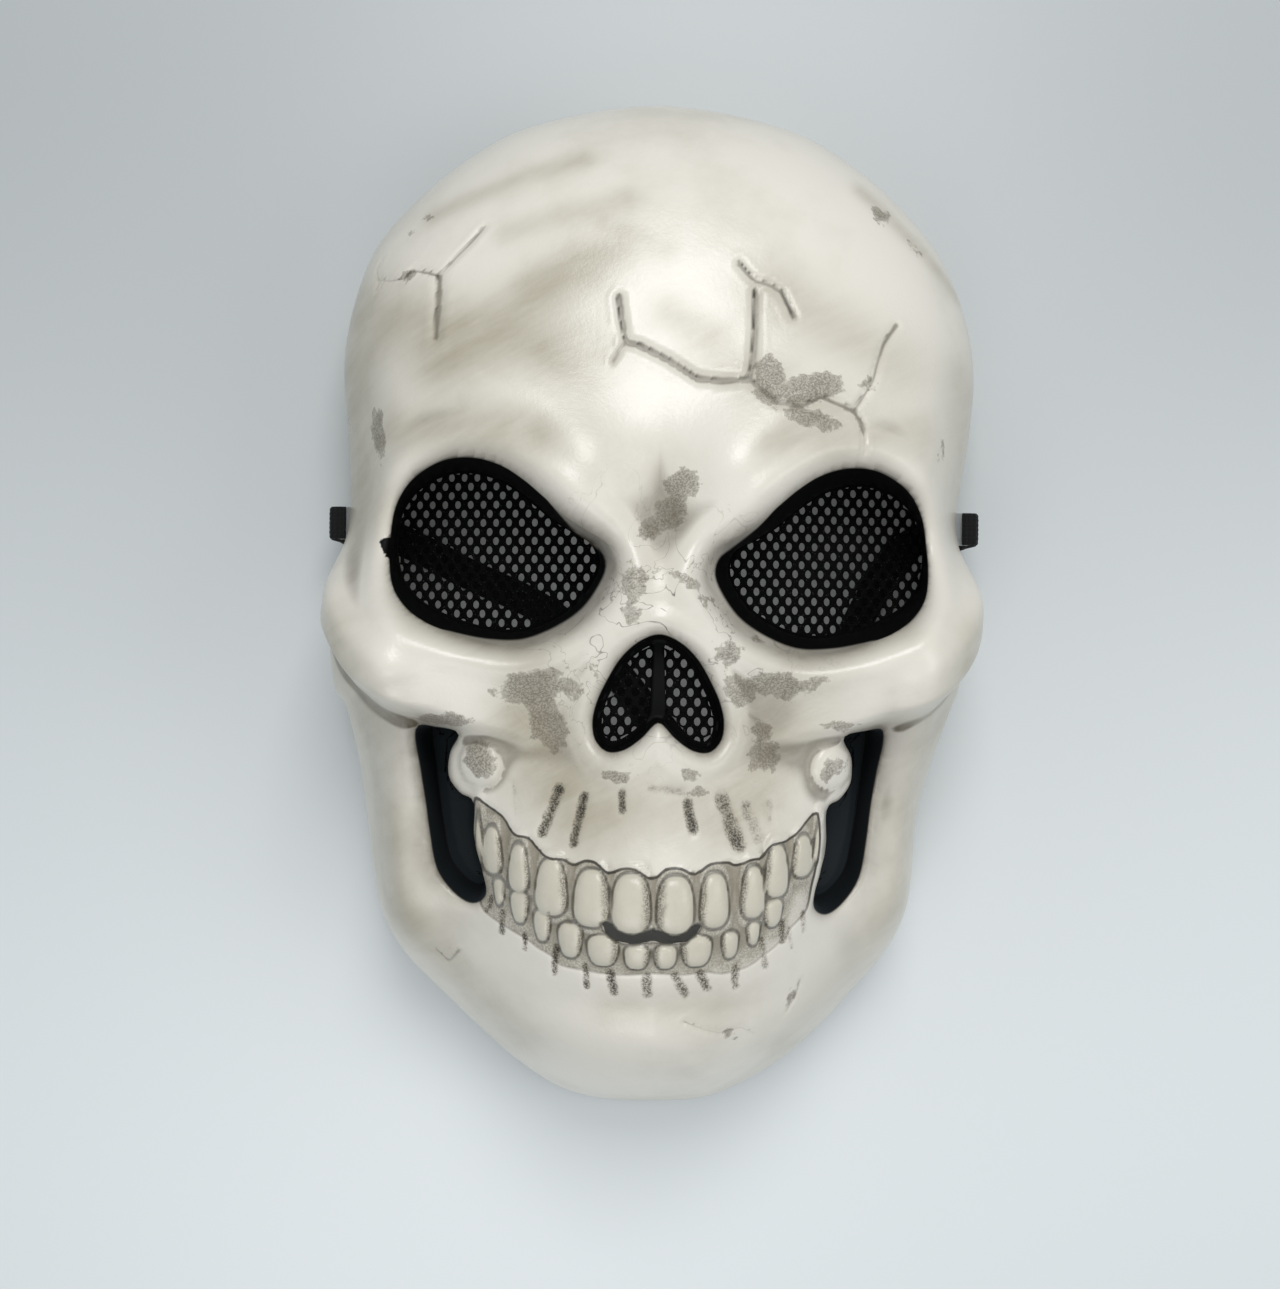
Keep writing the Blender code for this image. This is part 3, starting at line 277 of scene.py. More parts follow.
# Cracks pressed into the bone: half-width, depth, and the line that each follows, in millimetres
CRACKS = [
    (1.7, 1.0, [(-10.0, 77.4), (-9.3, 72.0), (-8.1, 66.2)]),
    (1.0, 0.65, [(-8.1, 66.2), (-9.8, 63.9), (-11.4, 61.2)]),
    (1.7, 1.2, [(-8.1, 66.2), (-5.0, 65.3), (1.8, 61.9), (9.1, 57.2), (15.2, 56.6), (21.9, 57.0)]),
    (1.6, 1.1, [(21.9, 57.0), (25.0, 54.2), (28.4, 51.3), (34.4, 50.4), (39.2, 52.8), (43.0, 51.5),
                (47.5, 49.9)]),
    (1.3, 0.9, [(47.5, 49.9), (49.9, 53.5), (52.6, 57.9), (54.0, 62.8), (55.9, 67.9), (59.6, 73.4)]),
    (1.1, 0.75, [(47.5, 49.9), (49.6, 47.0), (50.3, 43.4), (50.1, 38.8)]),
    (1.9, 1.0, [(21.9, 57.0), (22.8, 61.5), (23.4, 69.4), (23.6, 79.6)]),
    (1.5, 0.75, [(19.4, 86.5), (21.4, 84.0), (23.4, 82.2), (27.0, 81.3), (30.0, 79.6), (31.5, 76.5),
                 (33.0, 73.4)]),
    (1.2, 0.7, [(-44.2, 97.0), (-47.7, 92.9), (-51.9, 88.9), (-55.4, 84.8)]),
    (1.9, 1.05, [(-55.4, 84.8), (-55.3, 78.0), (-55.4, 72.5), (-55.4, 67.9)]),
    (1.3, 0.8, [(-55.4, 84.8), (-58.3, 86.0), (-62.9, 87.4), (-64.8, 85.6), (-69.3, 85.8),
                (-73.2, 87.1)]),
    (0.9, 0.55, [(-73.2, 87.1), (-74.0, 90.2), (-73.2, 92.8)]),
    (0.9, 0.55, [(-73.2, 87.1), (-73.3, 83.8)]),
    (0.8, 0.45, [(-56.9, -88.4), (-53.6, -92.0), (-50.2, -87.6)]),
    (0.8, 0.4, [(7.6, -100.0), (13.0, -102.6), (16.8, -103.9), (22.0, -103.2), (26.3, -106.2)]),
    (0.9, 0.5, [(38.1, -92.6), (36.8, -97.6), (34.4, -102.0)]),
]

# Smudged grooves over the roots of the upper teeth: upper end, lower end, half-width, darkness
ROOTS = [
    ((-23.3, -42.8), (-27.5, -53.4), 1.3, 1.0), ((-17.3, -44.2), (-19.8, -55.8), 1.1, 0.95),
    ((-8.1, -43.2), (-8.0, -47.4), 1.0, 0.7), ((7.7, -45.6), (8.9, -52.0), 1.3, 0.85),
    ((15.8, -44.2), (20.0, -55.8), 1.8, 0.9), ((21.8, -46.3), (25.3, -54.4), 1.8, 0.5),
    ((27.8, -45.6), (28.1, -49.9), 1.1, 0.4), ((-34.8, -41.5), (-34.4, -49.5), 1.0, 0.3),
    ((-0.8, -42.0), (6.2, -42.5), 1.6, 0.35),
]

# Dark runs under the lower teeth, in the same columns
DRIPS = [
    ((-40.4, -71.3), (-42.1, -75.2), 0.8, 0.9), ((-37.6, -74.5), (-37.9, -80.1), 0.8, 0.9),
    ((-31.7, -79.4), (-31.9, -83.6), 0.7, 0.9), ((-23.8, -81.5), (-24.5, -88.9), 0.8, 1.0),
    ((-16.7, -85.8), (-16.2, -91.4), 0.8, 0.95), ((-10.6, -87.2), (-9.6, -92.4), 1.1, 0.9),
    ((-1.7, -87.6), (-1.5, -92.4), 1.5, 0.6), ((5.2, -87.4), (7.7, -92.8), 1.4, 0.65),
    ((11.2, -87.2), (13.3, -91.7), 1.2, 0.75), ((20.0, -85.8), (20.4, -91.4), 1.1, 0.75),
    ((26.3, -79.4), (27.8, -87.2), 1.1, 0.55), ((31.6, -75.6), (32.0, -80.8), 0.9, 0.7),
    ((33.4, -77.3), (34.6, -83.0), 0.9, 0.45), ((37.2, -74.0), (37.8, -79.0), 0.9, 0.5),
]

# Smears of grey-beige paint: both ends, half-width and strength
# The smears along the temples, sides and jaw, stronger on the left, are partly painted shade on the steep
# sides
WASHES = [
    ((-54.0, 61.4), (-20.7, 84.5), 8.0, 0.80), ((-32.0, 80.0), (-9.9, 89.1), 4.5, 0.60),
    ((-58.0, 102.6), (-19.1, 114.7), 3.0, 0.50), ((-38.6, 94.6), (-8.9, 103.2), 3.4, 0.45),
    ((-80.0, 80.6), (-54.5, 68.5), 9.0, 0.70), ((-50.0, 68.2), (-16.0, 63.1), 9.0, 0.70),
    ((28.2, 78.6), (58.2, 63.1), 9.0, 0.55), ((52.4, 110.9), (79.8, 86.8), 2.8, 0.60),
    ((2.0, 74.0), (12.0, 67.9), 5.0, 0.65), ((14.0, 63.5), (40.6, 47.3), 7.0, 0.55),
    ((-14.0, 97.0), (1.0, 89.2), 3.4, 0.40), ((-82.0, 64.0), (-80.0, 28.0), 11.0, 0.95),
    ((82.0, 60.0), (82.0, 28.0), 9.0, 0.60), ((-66.0, 46.0), (-30.0, 43.0), 6.5, 0.75),
    ((28.0, 41.0), (64.0, 46.0), 6.5, 0.55), ((0.0, 32.0), (0.0, 8.0), 6.0, 0.40),
    ((-31.0, -26.0), (-18.0, -48.0), 11.0, 0.85), ((31.0, -26.0), (20.0, -48.0), 11.0, 0.85),
    ((-6.0, -44.0), (6.0, -44.0), 7.0, 0.40), ((-82.0, -6.0), (-76.0, -26.0), 8.0, 0.70),
    ((82.0, -6.0), (77.0, -26.0), 8.0, 0.65), ((-74.0, -32.0), (-68.0, -76.0), 7.0, 0.65),
    ((72.0, -34.0), (64.0, -76.0), 7.0, 0.40), ((-62.0, -84.0), (-36.0, -112.0), 8.0, 0.50),
    ((60.0, -84.0), (36.0, -112.0), 8.0, 0.42), ((-10.0, -97.0), (14.0, -97.0), 6.0, 0.40),
    ((-58.0, -2.0), (-30.0, -12.0), 5.0, 0.40), ((34.0, -10.0), (60.0, -4.0), 5.0, 0.35),
]

# Brown stains: centre, half-sizes, turn in degrees and strength
STAINS = [
    ((26.8, 58.6), (3.6, 5.6), 25, 0.95), ((37.5, 55.8), (8.0, 3.6), 4, 0.85),
    ((31.0, 53.4), (5.4, 2.6), -10, 0.8), ((25.5, 52.6), (4.6, 2.4), -35, 0.75),
    ((35.5, 47.8), (8.0, 2.4), -14, 0.85), ((50.5, 56.0), (4.0, 7.0), 10, 0.4),
    ((5.8, 31.0), (4.6, 4.4), -20, 0.8), ((2.6, 25.0), (4.6, 3.6), 20, 0.85),
    ((-2.0, 20.6), (4.4, 3.4), 35, 0.65), ((-5.6, 7.4), (3.6, 5.4), 15, 0.7),
    ((-5.8, 0.0), (3.4, 3.0), 0, 0.6), ((7.4, 7.4), (4.6, 1.8), -25, 0.7),
    ((12.0, 3.6), (4.4, 2.6), -40, 0.5),
    ((-30.0, -17.6), (10.0, 4.2), 10, 0.95), ((-26.6, -26.4), (4.0, 7.6), 22, 0.95),
    ((-20.6, -18.6), (2.8, 4.2), 0, 0.6), ((17.4, -9.6), (4.0, 3.6), -40, 0.6),
    ((20.0, -18.4), (4.6, 4.0), 0, 0.85), ((29.0, -17.4), (8.6, 3.4), -6, 0.8),
    ((37.4, -16.4), (5.0, 2.0), 12, 0.6), ((26.0, -28.0), (3.6, 3.0), 0, 0.6),
    ((26.6, -35.4), (4.4, 3.6), 0, 0.85), ((57.6, 104.5), (3.4, 6.0), 38, 0.45),
    ((66.0, 96.0), (2.6, 7.0), 40, 0.35), ((-71.4, 45.6), (2.6, 7.4), 10, 0.85),
    ((72.6, 43.0), (2.4, 7.0), -8, 0.45), ((-9.4, -39.4), (4.0, 1.8), 0, 0.7),
    ((8.4, -38.6), (3.4, 2.6), 0, 0.5), ((10.0, -42.6), (5.4, 2.0), -10, 0.5),
    ((-16.0, -12.0), (2.4, 7.0), 24, 0.35), ((-60.6, 102.4), (2.4, 1.6), 10, 0.6),
    ((-64.4, 99.0), (1.6, 1.2), 0, 0.5), ((-43.4, -36.6), (4.6, 4.0), -30, 0.75),
    ((43.8, -37.6), (4.2, 3.4), 30, 0.65), ((24.5, -6.0), (6.0, 1.6), -10, 0.45),
    # The two thin bands under the cheekbones, at y -26 and -27, are painted shade on the bone's underside
    ((-52.0, -26.4), (8.0, 1.8), 0, 0.75), ((45.0, -27.0), (7.0, 1.8), 0, 0.6),
    ((-64.0, 86.4), (3.4, 1.8), 0, 0.5), ((20.0, -105.0), (6.0, 2.4), -8, 0.35),
    ((35.6, -98.0), (1.8, 4.6), -14, 0.5), ((-54.0, -88.6), (3.4, 2.4), 0, 0.35),
]

# A nick in the outer edge of the left eye socket
NICK = [(-70.4, 18.4), (-67.5, 19.0), (-66.9, 13.2), (-68.4, 14.2)]


def smooth_table(place, stops, values):
    """Cubic curve through a table: each stretch leaves and meets its stops at the mean slope there."""
    stops, values = np.asarray(stops, float), np.asarray(values, float)
    slopes = np.gradient(values, stops)
    place = np.clip(place, stops[0], stops[-1])
    index = np.clip(np.searchsorted(stops, place) - 1, 0, len(stops) - 2)
    span = stops[index + 1] - stops[index]
    t = (place - stops[index]) / span
    rise = (2 * t**3 - 3 * t**2 + 1) * values[index] + (3 * t**2 - 2 * t**3) * values[index + 1]
    lean = (t**3 - 2 * t**2 + t) * slopes[index] + (t**3 - t**2) * slopes[index + 1]
    return rise + span * lean


def closed_curve(points, steps):
    """Closed curve through the points, each span a cubic that leaves along its neighbours' chord."""
    points = np.asarray(points, float)
    t = np.arange(steps)[None, :, None] / steps
    before, after = np.roll(points, 1, 0)[:, None], np.roll(points, -1, 0)[:, None]
    beyond, here = np.roll(points, -2, 0)[:, None], points[:, None]
    curve = 0.5 * (2 * here + (after - before) * t
                   + (2 * before - 5 * here + 4 * after - beyond) * t**2
                   + (3 * here - before - 3 * after + beyond) * t**3)
    return curve.reshape(-1, 2)


def smooth_step(t):
    """Rise from 0 to 1 as t goes from 0 to 1, level at both ends."""
    t = np.clip(t, 0, 1)
    return t * t * (3 - 2 * t)


def rim_outline():
    """The rim as a dense closed outline, counter-clockwise from the crown."""
    rows = np.array(RIM_ROWS)
    left = np.column_stack([-rows[:, 1] * HALF_WIDTH, rows[:, 0] * HALF_LENGTH])
    right = np.column_stack([rows[:, 2] * HALF_WIDTH, rows[:, 0] * HALF_LENGTH])
    return closed_curve(np.vstack([left, right[-2:0:-1]]), 12)


def eye_outline(side):
    """Outline of one eye socket, side -1 for left and 1 for right."""
    rows = np.array(EYE_ROWS) * np.array(EYE_SIZE) / 2
    rows = rows * np.array([side, 1]) + np.array(EYE_CENTRES[side > 0])
    return closed_curve(rows, 8)


def nose_outline():
    """Outline of the heart-shaped nose recess."""
    rows = np.array(NOSE_ROWS)
    right = np.column_stack([rows[:, 0] * NOSE_SIZE[0] / 2, NOSE_TOP_Y - rows[:, 1] * NOSE_SIZE[1]])
    left = right[:0:-1] * np.array([-1, 1])
    return closed_curve(np.vstack([right, left]) + np.array([MIDLINE_X, 0]), 6)


def pocket_outline(side):
    """Outline of one cheek pocket."""
    rows = np.array(POCKET_ROWS) * np.array(POCKET_SIZES[side > 0]) / 2
    rows = rows * np.array([side, 1]) + np.array(POCKET_CENTRES[side > 0])
    return closed_curve(rows, 8)


def slit_outline():
    """Outline of the mouth slit."""
    return closed_curve(SLIT, 3)


def mouth_outline():
    """Outline of the sunk ground in which the teeth stand."""
    return closed_curve(MOUTH, 3)


def turn_of(outline):
    """1 for an outline that runs clockwise and -1 for one that runs the other way."""
    after = np.roll(outline, -1, 0)
    return np.sign((after[:, 1] * outline[:, 0] - after[:, 0] * outline[:, 1]).sum())


def outline_distance(points, outline):
    """Signed distance of points to a closed outline, less than 0 inside, and the way outward."""
    start, end = outline, np.roll(outline, -1, 0)
    way = end - start
    offset = points[:, None, :] - start[None]
    share = np.clip((offset * way).sum(2) / (way * way).sum(1), 0, 1)
    gap = offset - share[..., None] * way
    length = np.sqrt((gap * gap).sum(2))
    nearest = length.argmin(1)
    rows = np.arange(len(points))
    distance = length[rows, nearest]
    above = start[None, :, 1] > points[:, None, 1]
    crosses = above != (end[None, :, 1] > points[:, None, 1])
    run = np.where(np.abs(way[:, 1]) < 1e-9, 1e-9, way[:, 1])
    cut = start[None, :, 0] + (points[:, None, 1] - start[None, :, 1]) / run * way[None, :, 0]
    inside = (crosses & (points[:, None, 0] < cut)).sum(1) % 2 == 1
    sign = np.where(inside, -1.0, 1.0)
    normal = np.column_stack([way[nearest, 1], -way[nearest, 0]])
    normal /= np.linalg.norm(normal, axis=1)[:, None]
    outward = np.where(distance[:, None] > 0.05, sign[:, None] * gap[rows, nearest]
                       / np.maximum(distance, 1e-9)[:, None], normal * turn_of(outline))
    return sign * distance, outward


def near_outline(points, outline, reach):
    """Signed distance where it is under the reach, and the reach itself further out."""
    low, high = outline.min(0) - reach, outline.max(0) + reach
    close = ((points > low) & (points < high)).all(1)
    distance = np.full(len(points), float(reach))
    if close.any():
        distance[close] = np.minimum(outline_distance(points[close], outline)[0], reach)
    return distance


def rim_share(points):
    """How far out each point lies, 0 at the centre and 1 on the rim, and its angle from the crown."""
    outline = rim_outline()
    angle = np.arctan2(outline[:, 1], outline[:, 0])
    order = angle.argsort()
    reach = np.hypot(outline[:, 0], outline[:, 1])[order]
    radius = np.interp(np.arctan2(points[:, 1], points[:, 0]), angle[order], reach, period=2 * np.pi)
    crown = np.degrees(np.arctan2(np.abs(points[:, 0]), points[:, 1]))
    return np.hypot(points[:, 0], points[:, 1]) / radius, crown


def edge_roll(points, outline, roll):
    """Rise of the rolled edge round a recess, and the fall right at its outline."""
    rise, place, spread, fall, fade = roll
    distance = near_outline(points, outline, ROLL_REACH)
    return (rise * np.exp(-((distance - place) / spread) ** 2)
            - fall * np.exp(-np.maximum(distance, 0) / fade))


def tooth_forms(points, table, root_way):
    """Where each point lies on each tooth: its distance out, 1 at the edge, and its place across.

    A tooth is a rounded block, (|across|^2.6 + |along|^2.8)^(1/2.7) = 1, that narrows towards its root,
    the outer teeth more than those in the middle. The tooth widths are given as well.
    """
    size = np.array([HALF_WIDTH, HALF_WIDTH, HALF_LENGTH, HALF_LENGTH])
    centre, width, top, bottom = (np.array(table) * size).T
    along = (points[:, 1:2] - (top + bottom) / 2) / ((top - bottom) / 2)
    taper = TOOTH_TAPER[0] + TOOTH_TAPER[1] * np.abs(centre) / HALF_WIDTH
    across = (points[:, :1] - centre) / (width / 2)
    across = across / (1 - taper * smooth_step((along * root_way + 1) / 2))
    return (np.abs(across) ** 2.6 + np.abs(along) ** 2.8) ** (1 / 2.7), across, width


def by_the_mouth(points):
    """Which points lie in the region of the teeth."""
    low, high = np.array(MOUTH_REGION)
    return ((points > low) & (points < high)).all(1)


def teeth_relief(points):
    """Rise of the teeth and of the bone round them, the upper row standing in front of the lower.

    Each tooth has a shallow groove round it, and the bone ends at the mouth's edge in a low step.
    """
    relief = np.zeros(len(points))
    near = by_the_mouth(points)
    spot = points[near]
    rises = np.zeros(len(spot))
    for table, step, root_way in ((LOWER_TEETH, 0.0, -1), (UPPER_TEETH, JAW_STEP, 1)):
        form, _, width = tooth_forms(spot, table, root_way)
        block = np.clip(1 - form**3, 0, 1) ** 0.5
        away = ((form - 1) * width / 2).min(1)
        tooth = (block * TOOTH_RISE * smooth_step(width / TOOTH_FULL_WIDTH)).max(1)
        ground = step * smooth_step((1.8 - away) / 1.2)
        rises = np.maximum(rises, tooth + ground - TOOTH_GROOVE * np.exp(-((away - 0.2) / 0.3) ** 2))
    edge = near_outline(spot, mouth_outline(), 16.0)
    upper = 0.35 + 0.65 * smooth_step((spot[:, 1] + 78) / 12)
    rises += GUM_RISE * upper * smooth_step(edge / 0.45) * np.exp(-(np.maximum(edge, 0) / 6) ** 2)
    relief[near] = rises
    return relief


def line_distance(points, line):
    """Distance of each point to an open line of straight stretches."""
    line = np.asarray(line, float)
    start, way = line[:-1], np.diff(line, axis=0)
    offset = points[:, None, :] - start[None]
    share = np.clip((offset * way).sum(2) / (way * way).sum(1), 0, 1)
    return np.linalg.norm(offset - share[..., None] * way, axis=2).min(1)


def crack_relief(points):
    """Depth of the cracks, each a V-shaped groove with a slightly raised lip, and how dark each is painted.
    """
    depth = np.zeros(len(points))
    inside = np.zeros(len(points))
    for half, deep, line in CRACKS:
        low, high = np.min(line, 0) - 4, np.max(line, 0) + 4
        near = ((points > low) & (points < high)).all(1)
        distance = line_distance(points[near], line)
        groove = np.clip(1 - distance / half, 0, 1)
        lip = 0.16 * np.exp(-((distance - half * 1.35) / 0.6) ** 2)
        depth[near] = np.minimum(depth[near], -deep * groove) + lip * (groove == 0)
        # Painted shade: the dirt in a groove is darker on its upper wall, the side turned away from the
        # light
        raised = line_distance(points[near] + np.array([0.35, -0.75]), line)
        upper = smooth_step((distance - raised) / 0.5 + 0.5)
        inside[near] = np.maximum(inside[near], groove * (0.35 + 0.65 * upper))
    return depth, inside


def stroke_share(points, strokes):
    """Strength of the strongest stroke at each point, fading over its half-width and past its ends."""
    best = np.zeros(len(points))
    for start, end, half, dark in strokes:
        distance = line_distance(points, [start, end]) / half
        best = np.maximum(best, dark * np.exp(-distance**2))
    return best


def wash_share(points):
    """Strength of the grey-beige smears, each fading over its half-width and past its ends."""
    total = np.zeros(len(points))
    for start, end, half, strength in WASHES:
        distance = line_distance(points, [start, end]) / half
        total = 1 - (1 - total) * (1 - 0.85 * strength * np.exp(-distance**2))
    return total


def face_height(points):
    """Height of the outer surface over each point of the plane of the rim.

    A plain dome, depth * (1 - share^p)^(1/q), whose exponents change round the rim, carries the
    cheekbones, rounded swells and hollows, the jaw hinge balls, the rolled edges round the sockets,
    the teeth, the cracks and the grooves over the roots. All of them fade out at the rim.
    """
    share, crown = rim_share(points)
    share = np.minimum(share, 1.0)
    out = np.abs(points[:, 0] - MIDLINE_X) / HALF_WIDTH
    up = points[:, 1] / HALF_LENGTH
    angles, first, second = np.array(ROUNDING_ROWS).T
    power = smooth_table(crown, angles, first)
    root = smooth_table(crown, angles, second)
    depth = smooth_table(up, *np.array(DEPTH_ROWS).T) * MASK_DEPTH
    height = depth * np.maximum(1 - share**power, 0) ** (1 / root)

    extra = np.zeros(len(points))
    place, edge, proud = np.array(CHEEK_ROWS).T
    edge_y = smooth_table(out, place, edge)
    rise = smooth_step((up - edge_y) / 0.045 + 0.35)
    fade = np.exp(-(np.maximum(up - edge_y - 0.07, 0) / 0.105) ** 2)
    extra += smooth_table(out, place, proud) * MASK_DEPTH * rise * fade
    for across, along, wide, long, turn, swell in SWELL_ROWS:
        angle = np.radians(turn)
        aside, ahead = (out - across) * HALF_WIDTH, (up - along) * HALF_LENGTH
        first = (aside * np.cos(angle) + ahead * np.sin(angle)) / (wide * HALF_WIDTH)
        second = (ahead * np.cos(angle) - aside * np.sin(angle)) / (long * HALF_LENGTH)
        extra += swell * MASK_DEPTH * np.exp(-0.5 * (first**2 + second**2))
    ball = np.hypot(out * HALF_WIDTH - BALL_CENTRE[0], points[:, 1] - BALL_CENTRE[1]) / BALL_RADIUS
    extra += BALL_RISE * np.sqrt(np.clip(1 - ball**2, 0, 1))
    for side in (-1, 1):
        extra += edge_roll(points, eye_outline(side), EYE_ROLL)
        extra += edge_roll(points, pocket_outline(side), POCKET_ROLL)
    extra += edge_roll(points, nose_outline(), NOSE_ROLL)
    extra += crack_relief(points)[0]
    extra -= 0.7 * stroke_share(points, ROOTS) + 0.4 * stroke_share(points, DRIPS)
    height = height + (extra + teeth_relief(points)) * (1 - share**40)
    arch = np.exp(-((points[:, 1] - TAB_Y) / RIM_ARCH_LENGTH) ** 4) * RIM_ARCH_HEIGHT
    return np.maximum(height, 0) + arch * share**60


def spaced(count, centre, width, gain):
    """Values from -1 to 1, closer together near both ends and near the centre that is given."""
    t = np.linspace(-1, 1, 2001)
    crowd = 1 + 2.4 * t**10 + gain * np.exp(-((t - centre) / width) ** 2)
    total = np.concatenate([[0], np.cumsum((crowd[1:] + crowd[:-1]) / 2)])
    return np.interp(np.linspace(0, total[-1], count), total, t)


def face_grid():
    """Grid over the face, square rows and columns eased into the rim's outline."""
    a, b = np.meshgrid(spaced(GRID_COLUMNS, 0.0, 0.5, 0.5), spaced(GRID_ROWS, -0.54, 0.16, 1.0))
    u, v = a * np.sqrt(1 - b * b / 2), b * np.sqrt(1 - a * a / 2)
    angle = np.arctan2(v * HALF_LENGTH, u * HALF_WIDTH)
    outline = rim_outline()
    around = np.arctan2(outline[:, 1], outline[:, 0])
    order = around.argsort()
    reach = np.hypot(outline[:, 0], outline[:, 1])[order]
    radius = np.interp(angle, around[order], reach, period=2 * np.pi)
    share = np.hypot(u, v)
    points = np.stack([share * radius * np.cos(angle), share * radius * np.sin(angle)], -1)
    rows, columns = a.shape
    index = np.arange(rows * columns).reshape(rows, columns)
    quads = np.stack([index[:-1, :-1], index[:-1, 1:], index[1:, 1:], index[1:, :-1]], -1)
    edge = np.zeros((rows, columns), bool)
    edge[[0, -1], :] = True
    edge[:, [0, -1]] = True
    return points.reshape(-1, 2), quads.reshape(-1, 4), edge.reshape(-1)


def quads_to_triangles(quads, state):
    """Cut each quad in two, along the line that runs from corner to corner where there is one."""
    corner = state[quads]
    across = (corner[:, 0] == 0) & (corner[:, 2] == 0)
    other = (corner[:, 1] == 0) & (corner[:, 3] == 0) & ~across
    first = np.where(other[:, None], quads[:, [0, 1, 3]], quads[:, [0, 1, 2]])
    second = np.where(other[:, None], quads[:, [1, 2, 3]], quads[:, [0, 2, 3]])
    return np.vstack([first, second])


def snap_to_outline(points, quads, fixed, outline):
    """Move the grid points nearest to an outline onto it. Gives the points and each one's side of it."""
    low, high = outline.min(0) - 8, outline.max(0) + 8
    close = ((points > low) & (points < high)).all(1)
    distance = np.full(len(points), 99.0)
    outward = np.zeros_like(points)
    distance[close], outward[close] = outline_distance(points[close], outline)
    edges = np.vstack([quads[:, [0, 1]], quads[:, [1, 2]], quads[:, [2, 3]], quads[:, [3, 0]]])
    crossing = edges[distance[edges[:, 0]] * distance[edges[:, 1]] < 0]
    closer = np.abs(distance[crossing]).argmin(1)
    chosen = np.unique(crossing[np.arange(len(crossing)), closer])
    chosen = chosen[~fixed[chosen]]
    points = points.copy()
    points[chosen] -= outward[chosen] * distance[chosen][:, None]
    state = np.sign(distance).astype(int)
    state[chosen] = 0
    return points, state


def snap_to_line(points, quads, fixed, line):
    """Move the grid points nearest to an open line onto it, where a grid edge crosses the line."""
    line = np.asarray(line, float)
    low, high = line.min(0) - 3, line.max(0) + 3
    close = ((points > low) & (points < high)).all(1)
    edges = np.vstack([quads[:, [0, 1]], quads[:, [3, 0]]])
    edges = edges[close[edges].all(1)]
    a, way = points[edges[:, 0]], points[edges[:, 1]] - points[edges[:, 0]]
    points = points.copy()
    moved = []
    for start, run in zip(line[:-1], np.diff(line, axis=0)):
        bottom = way[:, 0] * run[1] - way[:, 1] * run[0]
        bottom = np.where(np.abs(bottom) < 1e-9, 1e-9, bottom)
        away = start - a
        t = (away[:, 0] * run[1] - away[:, 1] * run[0]) / bottom
        s = (away[:, 0] * way[:, 1] - away[:, 1] * way[:, 0]) / bottom
        hit = (t >= 0) & (t <= 1) & (s >= 0) & (s <= 1)
        near = np.where(t[hit] < 0.5, edges[hit, 0], edges[hit, 1])
        spot = a[hit] + way[hit] * t[hit][:, None]
        free = ~fixed[near]
        points[near[free]] = spot[free]
        moved.append(near[free])
    return points, np.unique(np.concatenate(moved))


def boundary_edges(faces):
    """Edges that only one face uses, in the direction in which that face runs along them."""
    edges = np.vstack([faces[:, [0, 1]], faces[:, [1, 2]], faces[:, [2, 0]]])
    key = edges.min(1) * (faces.max() + 1) + edges.max(1)
    _, inverse, count = np.unique(key, return_inverse=True, return_counts=True)
    return edges[count[inverse.reshape(-1)] == 1]


def sink(points, outline, inset):
    """Draw the points inside an outline inward, by the inset at its edge and by nothing at its middle."""
    distance, outward = outline_distance(points, outline)
    deep = np.maximum(-distance, 0)
    pull = inset * np.clip(1 - deep / max(deep.max(), 1e-6), 0, 1)
    return points - outward * pull[:, None]


def eye_drawn_in(points, side, insets):
    """Points of an eye socket drawn in by their own amounts at its outer side, inner side, top and foot."""
    outer, inner, top, foot = insets[side > 0]
    centre = np.array(EYE_CENTRES[side > 0])
    share = 1 - np.array([outer + inner, top + foot]) / np.array(EYE_SIZE)
    return centre + (points - centre) * share + np.array([side * (inner - outer), foot - top]) / 2


def eye_hole(side):
    """Outline of the hole in the floor of one eye socket."""
    return eye_drawn_in(eye_outline(side), side, EYE_HOLE)


def eye_floor(points):
    """Height of the flat flange at the bottom of the eye sockets, which leans back towards the temples."""
    out = np.abs(points[:, 0] - MIDLINE_X) - EYE_CENTRES[1][0]
    return EYE_FLOOR_Z - EYE_FLOOR_TILT * out


def nose_floor(points):
    """Height of the nose recess's floor."""
    return np.full(len(points), NOSE_FLOOR_Z)


def pocket_floor(points):
    """Height of the cheek pocket's floor, which is lowest at its upper end."""
    along = (points[:, 1] - POCKET_CENTRES[1][1]) / (POCKET_SIZES[1][1] / 2)
    return POCKET_FLOOR_Z - 2.0 * along


def shrunk(outline, inset):
    """The outline moved inward along its own normals."""
    way = np.roll(outline, -1, 0) - np.roll(outline, 1, 0)
    normal = np.column_stack([way[:, 1], -way[:, 0]])
    normal /= np.linalg.norm(normal, axis=1)[:, None]
    return outline - normal * turn_of(outline) * inset


def nostril_outlines():
    """The two holes in the nose recess's floor, one on each side of the septum bar."""
    outline = shrunk(nose_outline(), NOSE_WALL_INSET + NOSE_FLANGE)
    holes = []
    for side in (-1, 1):
        near = side * (outline[:, 0] - MIDLINE_X)
        part = outline[near > SEPTUM_WIDTH / 2 + 0.4]
        middle = part.mean(0)
        part = part[np.argsort(np.arctan2(part[:, 1] - middle[1], side * (part[:, 0] - middle[0])))]
        inner = MIDLINE_X + side * SEPTUM_WIDTH / 2
        part[:, 0] = np.where(side * (part[:, 0] - inner) < 0.6, inner, part[:, 0])
        holes.append(part)
    return holes


